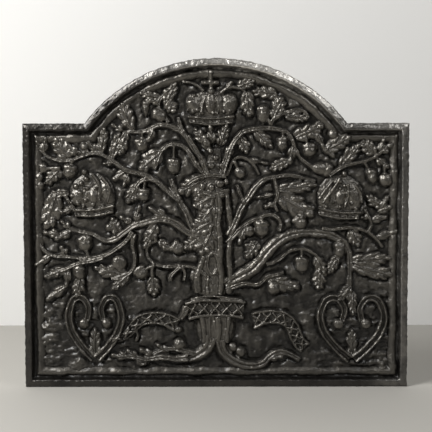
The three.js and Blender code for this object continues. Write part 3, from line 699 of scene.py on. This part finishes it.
# %% Ribbons
RIBBON = 10  # mm
BAR = 4.6  # width of a crossing bar, in mm


def along(points, share):
    """The place and direction at a share of a path's length."""
    lengths = [math.dist(a, b) for a, b in zip(points, points[1:])]
    left = share * sum(lengths)
    for (ax, ay), (bx, by), length in zip(points, points[1:], lengths):
        if left <= length:
            return ax + (bx - ax) * left / length, ay + (by - ay) * left / length, math.atan2(by - ay, bx - ax)
        left -= length
    return *points[-1], 0


def lozenges(points, start, end, count, height):
    """Crossing bars between a ribbon's raised edges."""
    bars = []
    for i in range(count):
        for side in (-1, 1):
            bar = []
            for share, reach in (((i + 0.1) / count, side), ((i + 0.9) / count, -side)):
                x, y, turn = along(points, share)
                wide = (start + (end - start) * share) * 0.3 * reach
                bar.append((x - math.sin(turn) * wide, y + math.cos(turn) * wide))
            bars.append(bough(bar, BAR, BAR, height, ROUND))
    return bars


def ribbon(points, start, end, count, height=RIBBON):
    """A band, start and end wide, with a count of lozenges on it."""
    return [bough(points, start, end, height, BAND), lozenges(points, start, end, count, height * 0.95)]


carve("collar",
    ribbon([(-60, 157), (-36, 163), (0, 164), (36, 163), (58, 160)], 34, 34, 5, 14),
    bough([(-60, 166), (-66, 152), (-74, 140)], 16, 11, 12),
    bough([(-52, 182), (-24, 188), (26, 185), (54, 180)], 6, 6, 11, ROUND),
    ball((-24, 188), 9),
)
carve("left_ribbon",
    ribbon([
        (-80, 128), (-105, 140), (-130, 143), (-152, 139), (-170, 125), (-184, 109), (-200, 101), (-218, 97),
    ], 29, 12, 6),
    bough([(-168, 122), (-162, 108), (-166, 94)], 9, 6, RIBBON * 0.8, ROUND),
    boss((-78, 118), 18, 16, 0, RIBBON),
)
carve("right_ribbon",
    ribbon([
        (76, 138), (95, 143), (120, 145), (142, 140), (156, 126), (164, 108), (172, 92), (184, 80),
    ], 31, 22, 7),
    bough([(78, 122), (98, 132)], 7, 7, RIBBON, ROUND),
)

# %% Scrolls
SCROLL, SCROLL_WIDTH = 10, 18  # mm
# Shares of half the width and of the height, from the foot up and round, and last the ball that the band curls to.
SCROLL_PATH = [(0.06, 0), (0.5, 0.2), (0.9, 0.5), (0.93, 0.78), (0.62, 0.97), (0.26, 0.84), (0.3, 0.6), (0.42, 0.56)]


def scroll(centre, width, height):
    """Two bands that part at the foot and curl in, with a leaf between them."""
    shapes = []
    for side in (-1, 1):
        *line, curl = [(centre[0] + side * x * width / 2, centre[1] + y * height) for x, y in SCROLL_PATH]
        shapes += [bough(line, SCROLL_WIDTH, SCROLL_WIDTH * 0.65, SCROLL, TWO_RIDGES), ball(curl, 19)]
    return [*shapes, leaf((centre[0], centre[1] + 4), (centre[0], centre[1] + height * 0.44), 19)]


carve("left_scroll", scroll((-250, 58), 112, 132))
carve("right_scroll", scroll((281, 56), 136, 132))

# %% [markdown]
# ## The tree
#
# Every bough is drawn in millimetres on the plate: points for its stem, and stalk and tip for each leaf. The trunk
# comes first. It is the highest and most worked part of the tree: a low core with strands of bark over it, a knothole,
# hanging leaves, and a great knot where the boughs part.

# %% The trunk and the roots
def ring(centre, half_width, half_length, width, height):
    """A loop of bark round a knothole."""
    turns = [math.tau * i / 12 for i in range(13)]
    loop = [(centre[0] + half_width * math.cos(t), centre[1] + half_length * math.sin(t)) for t in turns]
    return bough(loop, width, width, height, ROUND)


carve("trunk",
    # The trunk's core, then strands of bark over it, with a deep groove before the last one.
    bough([(-8, 190), (-7, 235), (-10, 300), (-13, 360), (-11, 410)], 46, 44, 7, ROUND),
    bough([(-10, 400), (-5, 440), (-3, 468), (-2, 492)], 44, 20, 7, ROUND),
    bough([(8, 192), (11, 225), (7, 262), (9, 300), (5, 340), (8, 372), (6, 402)], 14, 12, 14.5, ROUND),
    bough([(26, 194), (29, 232), (26, 270), (30, 325), (25, 372), (22, 404)], 13, 12, 9.5, ROUND),
    bough([(-37, 196), (-39, 222), (-34, 246), (-24, 270)], 17, 12, 13.5, ROUND),
    bough([(-17, 194), (-18, 212), (-15, 230)], 10, 8, 13, ROUND),
    ring((-7, 256), 10, 22, 6, 15),
    # Leaves that hang down the left of it.
    leaf((-6, 344), (-46, 322), 34, 14), leaf((-8, 326), (-30, 278), 36, 14), leaf((-26, 316), (-62, 288), 26, 12),
    leaf((-2, 398), (-42, 374), 30, 13), leaf((-4, 376), (-30, 342), 28, 14),
    boss((-32, 396), 20, 14, 20, 14), boss((-8, 394), 24, 14, -10, 16), boss((12, 396), 17, 12, 10, 15),
    # The great knot, with a broad leaf to its left.
    leaf((-20, 432), (-70, 404), 32, 14),
    bough([(-62, 416), (-42, 430), (-16, 437), (22, 435)], 9, 8, 15),
    bough([(-36, 404), (-8, 400), (28, 408)], 8, 7, 14),
    boss((-27, 415), 17, 20, 0, 15), boss((-9, 412), 17, 18, 0, 16),
    boss((8, 420), 20, 18, 0, 17), boss((22, 424), 12, 15, 0, 14),
    # The forked crown of the trunk.
    bough([(-58, 518), (-42, 492), (-28, 466), (-18, 440)], 9, 12, 13),
    bough([(54, 526), (36, 502), (25, 474), (14, 440)], 9, 12, 13),
    leaf((-14, 490), (-40, 530), 20, 14), leaf((-5, 500), (-12, 540), 15, 13),
    leaf((8, 496), (22, 538), 19, 14), leaf((18, 474), (38, 504), 16, 13),
    boss((-20, 503), 17, 19, -30, 16), boss((-11, 487), 15, 15, 0, 16), boss((0, 474), 16, 14, 0, 15),
    boss((-9, 457), 20, 15, 0, 16), boss((14, 457), 20, 14, 0, 16),
    boss((27, 488), 14, 21, -20, 14), boss((12, 512), 15, 19, 30, 15),
    rounding=4, small=1.0,
)
carve("trunk_foot",
    bough([(-1, 148), (-2, 120), (-3, 92)], 74, 60, 9, ROUND),
    [
        bough([(x, 146), (x * 0.94 + shift, 120), (x * 0.8, 92)], width, width * 0.8, 12.5, ROUND)
        for x, shift, width in ((-30, 3, 14), (-13, -2, 9), (3, 3, 16), (27, -2, 12))
    ],
)
carve("left_root",
    bough([(-10, 104), (-18, 82), (-36, 66), (-60, 57), (-82, 58)], 27, 10, ROOT),
    bough([(-58, 60), (-82, 58), (-112, 61), (-142, 57), (-168, 61), (-194, 62)], 15, 8, ROOT),
    bough([(-44, 68), (-80, 77), (-108, 77), (-130, 68)], 12, 8),
    ball((-76, 88), 22),
    leaves(
        (-128, 66, -158, 76, 15), (-160, 60, -185, 76, 14), (-168, 56, -146, 46, 12), (-180, 63, -216, 64, 16),
        (-96, 70, -124, 88, 14),
    ),
    boss((-150, 47), 20, 9, 20),
)
carve("right_root",
    bough([
        (8, 96), (12, 78), (26, 60), (50, 47), (78, 43), (98, 48), (112, 62), (130, 71), (150, 67), (173, 55),
    ], 21, 10, ROOT),
    twig([(28, 60), (34, 82)]),
    boss((34, 82), 20, 22, 30),
    twig([(44, 52), (51, 72)]), ball((51, 72), 19),
    leaf((108, 56), (138, 62), 12),
)

# %% [markdown]
# The boughs, twigs and sprays follow, each with its own leaves, acorns and balls, from the top down on each side.

# %% The boughs on the left
carve("left_top_bough",
    bough([
        (-18, 452), (-30, 474), (-42, 488), (-52, 504), (-65, 521), (-80, 532), (-98, 539), (-115, 540), (-130, 534),
        (-148, 527), (-168, 526), (-190, 527),
    ], 12, 7),
    bough([(-60, 516), (-70, 535), (-77, 556)], 9, 7),
    leaf((-126, 535), (-137, 507), 16), acorn((-152, 500), 24, 26, 10), twig([(-150, 524), (-152, 500)]),
    leaves(
        (-165, 529, -186, 549, 13), (-174, 534, -190, 582, 26), (-186, 527, -212, 541, 13), (-182, 527, -196, 482, 18),
    ),
)
carve("left_arch_spray",
    bough([(-96, 545), (-105, 560), (-116, 578), (-112, 594), (-98, 602)], 8, 7, TWIG),
    acorn((-115, 560), 22, 30, 60),
    leaves(
        (-104, 580, -82, 622, 18), (-100, 596, -86, 568, 24), (-112, 594, -152, 604, 17), (-114, 586, -136, 591, 14),
    ),
    twig([(-134, 590), (-143, 576)]), acorn((-143, 576), 13, 28), leaf((-110, 600), (-88, 617), 14),
)
carve("left_inner_bough",
    bough([
        (-24, 440), (-40, 460), (-52, 480), (-62, 493), (-78, 500), (-95, 499), (-108, 491), (-115, 479), (-120, 464),
        (-126, 449),
    ], 10, 8),
    leaves((-112, 486, -152, 452, 30), (-118, 488, -143, 478, 14)),
    twig([(-85, 497), (-87, 460)]), acorn((-87, 457), 24, 30),
)
carve("left_long_bough",
    bough([(-34, 306), (-50, 336), (-60, 360), (-72, 380), (-80, 398), (-88, 416), (-92, 430)], 15, 10),
    bough([
        (-74, 385), (-96, 402), (-115, 420), (-140, 437), (-165, 443), (-185, 449), (-205, 463), (-220, 474),
        (-245, 483), (-270, 478), (-300, 468), (-325, 469), (-345, 477), (-358, 490),
    ], 10, 7),
    leaves(
        (-352, 482, -348, 516, 15), (-352, 485, -368, 508, 12), (-300, 471, -326, 510, 28), (-283, 476, -305, 502, 16),
        (-262, 480, -281, 485, 10),
    ),
    twig([(-258, 480), (-268, 495)]), ball((-269, 497), 17),
    leaves(
        (-242, 485, -262, 507, 14), (-236, 481, -228, 530, 17), (-214, 470, -198, 520, 17), (-208, 463, -231, 461, 11),
        (-184, 446, -210, 427, 15), (-178, 443, -189, 414, 13),
    ),
    twig([(-293, 470), (-300, 448)]), acorn((-300, 446), 25, 27, -10),
    bough([(-118, 424), (-138, 430), (-154, 425), (-164, 410), (-167, 386)], 10, 8),
    leaf((-160, 420), (-180, 384), 22), twig([(-146, 426), (-148, 400)]), acorn((-148, 398), 22, 25),
)
carve("left_edge_acorns",
    twig([(-318, 452), (-340, 452), (-354, 448), (-362, 434), (-360, 417)], 8, 7), leaf((-318, 450), (-346, 424), 22),
    ball((-354, 453), 18), ball((-362, 434), 15), ball((-360, 417), 15),
)
carve("left_edge_leaves",
    leaf((-300, 402), (-338, 398), 17),
    bough([(-284, 362), (-298, 380), (-310, 398)], 7, 7, TWIG),
    leaves((-291, 370, -320, 360, 13), (-326, 402, -348, 334, 32)),
)
carve("left_middle_bough",
    bough([
        (-26, 304), (-44, 316), (-60, 322), (-78, 336), (-100, 346), (-128, 345), (-150, 339), (-168, 334), (-185, 322),
        (-203, 309), (-222, 303), (-238, 308), (-255, 317), (-280, 322), (-300, 328),
    ], 17, 8),
    leaves(
        (-122, 340, -145, 292, 23), (-100, 350, -136, 370, 16), (-166, 338, -157, 376, 13), (-170, 338, -196, 352, 14),
        (-200, 316, -212, 347, 20),
    ),
    ball((-220, 330), 14),
    leaves((-298, 326, -318, 345, 12), (-296, 324, -330, 305, 16), (-318, 316, -354, 320, 16)),
)
carve("left_lower_bough",
    bough([
        (-172, 322), (-182, 306), (-200, 290), (-222, 276), (-245, 269), (-275, 267), (-305, 270), (-332, 272),
        (-350, 281), (-366, 304),
    ], 10, 6),
    leaves((-338, 273, -372, 252, 13), (-308, 272, -320, 291, 16)),
    twig([(-262, 270), (-270, 296)]), acorn((-270, 298), 28, 30, 10),
    bough([(-232, 268), (-260, 260), (-285, 256), (-305, 247), (-322, 240)], 8, 7),
    twig([(-285, 256), (-282, 238)]), acorn((-282, 237), 23, 28),
    leaves(
        (-310, 246, -350, 229, 18), (-302, 246, -309, 208, 14), (-305, 212, -348, 181, 16), (-280, 228, -288, 189, 22),
    ),
)
carve("left_hanging_twig",
    bough([
        (-167, 318), (-172, 300), (-169, 280), (-167, 262), (-172, 244), (-185, 231), (-202, 225), (-216, 225),
    ], 9, 6),
    leaf((-188, 232), (-244, 246), 24), twig([(-186, 236), (-199, 255)]), ball((-200, 257), 27),
    leaf((-176, 238), (-212, 204), 17),
)
carve("left_curled_branch",
    bough([
        (-3, 213), (-14, 226), (-26, 236), (-38, 244), (-50, 249), (-68, 251), (-92, 250), (-115, 251), (-133, 261),
        (-142, 278), (-138, 294), (-120, 303),
    ], 9, 6),
    leaf((-118, 302), (-92, 284), 17), twig([(-98, 287), (-80, 288)]), acorn((-79, 288), 24, 27, 60),
    bough([(-73, 250), (-84, 240), (-94, 228), (-94, 219)], 7, 8),
    bough([(-70, 250), (-64, 236), (-66, 220)], 7, 6),
    leaf((-46, 247), (-43, 201), 15),
    bough([(-128, 258), (-132, 242), (-131, 226)], 7, 6),
    leaf((-132, 230), (-127, 192), 22), acorn((-155, 237), 26, 26, 40), twig([(-134, 250), (-154, 238)]),
)

# %% The boughs at the top and on the right
carve("crown_twig",
    bough([(-24, 610), (-36, 619), (-50, 626), (-68, 628)], 6, 5, TWIG),
)
carve("top_spray",
    twig([(10, 604), (24, 614), (44, 616), (64, 604)]),
    leaves((22, 612, 34, 629, 13), (42, 616, 78, 629, 18), (62, 608, 68, 560, 24)),
)
carve("right_top_bough",
    bough([
        (16, 460), (28, 488), (42, 512), (56, 525), (78, 531), (105, 533), (130, 530), (147, 523), (156, 508),
        (163, 490), (173, 473), (188, 460), (206, 447),
    ], 11, 7),
    twig([(138, 528), (136, 504)]), acorn((136, 502), 21, 27),
    leaves((50, 516, 62, 484, 20), (80, 528, 113, 496, 20), (158, 500, 152, 461, 15), (152, 468, 114, 451, 19)),
    acorn((218, 450), 23, 40, -100),
)
carve("right_arch_spray",
    bough([(112, 540), (118, 550), (128, 557), (141, 564), (158, 569), (174, 570), (192, 554)], 8, 6, TWIG),
    leaves((118, 552, 136, 592, 25), (130, 584, 122, 604, 12), (126, 603, 80, 608, 22)),
    twig([(112, 544), (98, 560)]), acorn((97, 562), 22, 34), leaf((140, 560), (184, 552), 18),
)
carve("right_shoulder_spray",
    leaf((162, 514), (215, 537), 27), twig([(182, 518), (191, 490)]), acorn((192, 488), 26, 27),
    leaves((205, 527, 222, 492, 14), (218, 498, 243, 474, 14), (226, 488, 272, 514, 24)),
    twig([(226, 488), (236, 504), (240, 520)]), ball((240, 521), 19),
)
carve("right_long_bough",
    bough([(232, 436), (246, 446), (262, 455), (285, 461), (310, 467), (330, 477), (342, 488)], 8, 6),
    leaves(
        (254, 452, 292, 498, 22), (336, 482, 360, 501, 16), (326, 478, 302, 506, 22), (334, 482, 344, 512, 14),
        (326, 473, 353, 453, 15),
    ),
    twig([(304, 464), (319, 438)]), acorn((320, 435), 20, 29, 10), twig([(344, 458), (348, 430)]), ball((348, 427), 24),
)
carve("right_inner_bough",
    bough([
        (26, 312), (42, 344), (54, 372), (68, 392), (82, 412), (98, 427), (120, 433), (150, 437), (180, 431),
        (204, 424),
    ], 15, 7),
    bough([(58, 380), (50, 400), (43, 418)], 8, 7),
    bough([(119, 432), (124, 412), (126, 395), (121, 378), (127, 362)], 8, 6),
    leaves((122, 408, 198, 416, 20), (124, 398, 85, 392, 9), (121, 380, 101, 371, 13), (128, 396, 193, 358, 36)),
    acorn((173, 341), 25, 26, 30), twig([(160, 362), (172, 344)]),
)
carve("right_ring_twig",
    bough([(22, 436), (29, 452), (34, 466), (46, 474), (62, 471), (78, 458), (89, 438)], 7, 5, TWIG),
    leaf((60, 472), (106, 461), 10), twig([(38, 466), (48, 444)]), ball((49, 442), 20),
)
carve("right_middle_bough",
    bough([
        (22, 298), (38, 314), (48, 325), (58, 334), (75, 344), (95, 352), (112, 356), (125, 351), (133, 338),
        (130, 322),
    ], 10, 7),
    twig([(94, 350), (94, 330)]), acorn((94, 328), 27, 32), ball((68, 322), 19), twig([(48, 324), (66, 322)]),
    leaf((58, 328), (48, 296), 14),
)
carve("right_curly_leaf",
    leaves((88, 302, 64, 270, 21), (86, 296, 60, 292, 13)),
)
carve("right_great_bough",
    bough([
        (18, 212), (34, 221), (50, 229), (70, 240), (88, 256), (102, 275), (118, 293), (138, 307), (160, 316),
        (185, 319), (210, 318), (235, 314), (256, 303), (270, 288), (276, 265), (276, 235), (276, 208), (283, 190),
    ], 24, 8),
    leaves((281, 196, 283, 152, 18), (278, 208, 254, 180, 20)),
    twig([(254, 304), (254, 285)]), acorn((254, 283), 21, 30),
    leaves((252, 272, 233, 238, 17), (280, 262, 354, 266, 22), (279, 252, 358, 232, 26)),
)
carve("right_lower_bough",
    bough([
        (20, 202), (38, 208), (56, 214), (72, 212), (86, 212), (96, 218), (106, 228), (122, 232), (140, 237),
    ], 10, 8),
    leaf((106, 224), (166, 206), 27), ball((119, 204), 23),
)
carve("right_looped_branch",
    bough([
        (104, 254), (118, 258), (134, 267), (148, 279), (165, 285), (182, 285), (198, 278), (212, 265), (222, 247),
    ], 8, 6),
    twig([(176, 284), (177, 256)]), acorn((177, 254), 26, 30),
    leaves((204, 270, 222, 236, 20), (215, 244, 211, 205, 24)),
)
carve("right_outer_bough",
    bough([(218, 328), (240, 326), (268, 329), (292, 327), (312, 319), (330, 305), (343, 288)], 8, 6),
    leaves((276, 326, 292, 293, 24), (326, 308, 370, 322, 16)),
    bough([(312, 319), (319, 337), (313, 354), (306, 367)], 7, 6),
    leaves((317, 345, 352, 352, 15), (314, 352, 298, 350, 10)),
)
carve("right_edge_leaves",
    leaves((332, 362, 362, 374, 15), (338, 366, 352, 394, 14), (342, 372, 312, 392, 18)),
)

# %% Clearing the bench
# The masters and profiles have done their work, and are not part of the casting.
for pattern in (*broad_leaves, *narrow_leaves, acorn_master, ball_master, STRANDS, ROUND, BAND, TWO_RIDGES):
    bpy.data.objects.remove(pattern)

# %% [markdown]
# ## The ground
#
# Between the carvings the sand leaves rolling, pitted ground. It is a grid roughened by displace modifiers. Round
# each carving it sinks a little, as the pattern maker's gouge leaves it, and the colour is painted darker there as
# shade: the sink and the painted shade both follow the distance to the nearest carved foot. At last the grid's border
# is pulled down and closed.

# %% Where the carvings meet the ground
FOOT_FROM, FOOT_TO = -1, 0.8  # mm above the face

feet = []
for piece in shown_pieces():
    if piece.name in ("cast_plate_and_rim", "cast_bead"):
        continue
    feet += [(c.co.x, c.co.z, 0) for c in piece.data.vertices if FOOT_FROM * MM < FACE_Y - c.co.y < FOOT_TO * MM]
foot_tree = kdtree.KDTree(len(feet))
for i, foot in enumerate(feet):
    foot_tree.insert(foot, i)
foot_tree.balance()
print(f"{len(feet)} points at the carvings' feet")

# %% The ground's grid
GROUND_STEP = 2.5  # mm
GROUND_INSET = BEAD_START + 1

across, up = 2 * (HALF_WIDTH - GROUND_INSET), TOP - 2 * GROUND_INSET
bpy.ops.mesh.primitive_grid_add(
    x_subdivisions=round(across / GROUND_STEP), y_subdivisions=round(up / GROUND_STEP), size=1,
    location=(0, TOP / 2 * MM, 0),
)
ground = bpy.context.object
ground.name = "cast_ground"
ground.scale = (across * MM, up * MM, 1)
only(ground)
bpy.ops.object.transform_apply(location=True, rotation=True, scale=True)


def in_outline(x, y, inset):
    """Is this place on the plate, at least inset from its edge, in mm?"""
    under_arch = math.hypot(x, y - ARCH_CENTRE) < ARCH_RADIUS - inset
    return y < SHOULDER - inset or under_arch


bpy.context.tool_settings.mesh_select_mode = (True, False, False)
edit("DESELECT")
leave()
for corner in ground.data.vertices:
    corner.select = not in_outline(corner.co.x / MM, corner.co.y / MM, GROUND_INSET)
bpy.ops.object.mode_set(mode="EDIT")
bpy.ops.mesh.delete(type="VERT")
leave()
print(f"{ground.name}: {len(ground.data.polygons)} faces before the border is closed")

# %% [markdown]
# The lower corners are rougher than the rest, with ridges lying along the plate. A vertex group says where, and the
# ridges' clouds are read through an empty that is three times as wide as high, which draws them out.

# %% Rough ground
CORNER_FROM, CORNER_RUN = 120, 160  # mm from the middle line, over which the roughness grows
CORNER_TOP, CORNER_FADE = 230, 60  # mm up the plate, under which it grows
RIDGES, RIDGE_DEPTH = 9, 16  # mm

rough_corners = ground.vertex_groups.new(name="rough_corners")
for corner in ground.data.vertices:
    x, y = abs(corner.co.x) / MM, corner.co.y / MM
    outward = min(1, max(0, (x - CORNER_FROM) / CORNER_RUN))
    downward = min(1, max(0, (CORNER_TOP - y) / CORNER_FADE))
    rough_corners.add([corner.index], outward * downward, "REPLACE")
for size, depth in ((32, 12), (14, 8), (6, 3)):
    displace(ground, clouds(f"ground_{size}_mm", size), depth, direction="Z")
bpy.ops.object.empty_add()
sideways = bpy.context.object
sideways.scale.x = 3
bpy.context.view_layer.update()
displace(
    ground, clouds("ridges", RIDGES), RIDGE_DEPTH, "OBJECT",
    texture_coords_object=sideways, direction="Z", vertex_group="rough_corners",
)
bpy.data.objects.remove(sideways)

# %% Creases, painted shade and the closed border
CREASE_WIDTH, CREASE_DEPTH = 7, 3  # mm
GROUND_LOW = FOOT + 0.7  # the ground stays over the carvings' feet, in mm
GROUND_BASE = -7  # mm

# Painted shade: each point's share of darkness round the carvings' feet, which the iron's colour reads.
crease_shade = ground.data.attributes.new("crease_shade", "FLOAT", "POINT")
level = sum(c.co.z for c in ground.data.vertices) / len(ground.data.vertices)
for corner in ground.data.vertices:
    distance = foot_tree.find((corner.co.x, corner.co.y, 0))[2] / MM
    near = max(0, 1 - distance / CREASE_WIDTH) ** 2
    corner.co.z = max(corner.co.z - level - CREASE_DEPTH * near * MM, GROUND_LOW * MM)
    crease_shade.data[corner.index].value = near
edit("DESELECT")
bpy.ops.mesh.select_non_manifold()
bpy.ops.mesh.extrude_region_move()
bpy.ops.transform.resize(value=(1, 1, 0), center_override=(0, 0, GROUND_BASE * MM))
bpy.ops.mesh.edge_face_add()
bpy.ops.mesh.select_all(action="SELECT")
bpy.ops.mesh.normals_make_consistent(inside=False)
leave()
stand_up(ground, [], relief_iron)

# %% [markdown]
# ## Floor, light and camera
#
# The plate stands on a pale floor before a pale wall. One large lamp from high on the left gives the long soft
# shadows under the carving, and a weak one from the right keeps those shadows open. The camera is a long lens
# a little above the plate's middle, as in the picture.

# %% Floor and wall
def plain(name, colour, roughness):
    material, _, shader = new_material(name)
    shader.inputs["Base Color"].default_value = linear(colour)
    shader.inputs["Roughness"].default_value = roughness
    return material


WALL_Y = 0.75  # m behind the plate
FLOOR_SIZE, WALL_SIZE = 30, 8  # m
bpy.ops.mesh.primitive_plane_add(size=FLOOR_SIZE)
floor = bpy.context.object
floor.name = "floor"
floor.data.materials.append(plain("trowelled_cement_floor", "#b8b5ae", 0.8))  # pale and nearly without a sheen
bpy.ops.mesh.primitive_plane_add(
    size=WALL_SIZE, location=(0, WALL_Y, WALL_SIZE / 2), rotation=(math.radians(90), 0, 0),
)
wall = bpy.context.object
wall.name = "wall"
wall.data.materials.append(plain("matt_white_wall_paint", "#f4f3f0", 0.9))  # a dull, even white
# From behind, the wall lets the eye through, so that the plate's back can be looked at.
tree = wall.data.materials[0].node_tree
backfacing = node(tree, "ShaderNodeNewGeometry").outputs["Backfacing"]
paint = tree.nodes["Principled BSDF"].outputs[0]
clear = node(tree, "ShaderNodeBsdfTransparent").outputs[0]
one_sided = node(tree, "ShaderNodeMixShader", _0=backfacing, _1=paint, _2=clear).outputs[0]
tree.links.new(one_sided, tree.nodes["Material Output"].inputs["Surface"])
print("stage:", floor.name, wall.name)


# %% Lamps
def softbox(name, place, aim, size, watts):
    """A square lamp at a place, turned to what it aims at."""
    light = bpy.data.lights.new(name, "AREA")
    light.size = size
    light.energy = watts
    holder = placed(name, light)
    holder.location = place
    away = holder.location - Vector(aim)
    holder.rotation_euler = away.to_track_quat("Z", "Y").to_euler()


softbox("key", (-1.6, -1.3, 1.9), (0, 0, 0.3), 1.2, 74)
softbox("rim", (1.25, -1.3, 1.75), (0.1, 0, 0.5), 0.9, 10)
world = bpy.data.worlds.new("room")
world.use_nodes = True
world.node_tree.nodes["Background"].inputs["Color"].default_value = linear("#c8c8c8")
world.node_tree.nodes["Background"].inputs["Strength"].default_value = 0.17
bpy.context.scene.world = world

# %% Camera
LOOKING_DOWN = 3.91  # degrees
camera = bpy.data.cameras.new("camera")
camera.lens, camera.sensor_width = 91, 36  # mm
viewer = placed("camera", camera)
viewer.location = (0.002, -2.2385, 0.5065)
viewer.rotation_euler = (math.radians(90 - LOOKING_DOWN), math.radians(0.1), math.radians(0.04))
bpy.context.scene.camera = viewer
bpy.context.scene.view_settings.view_transform = "Standard"
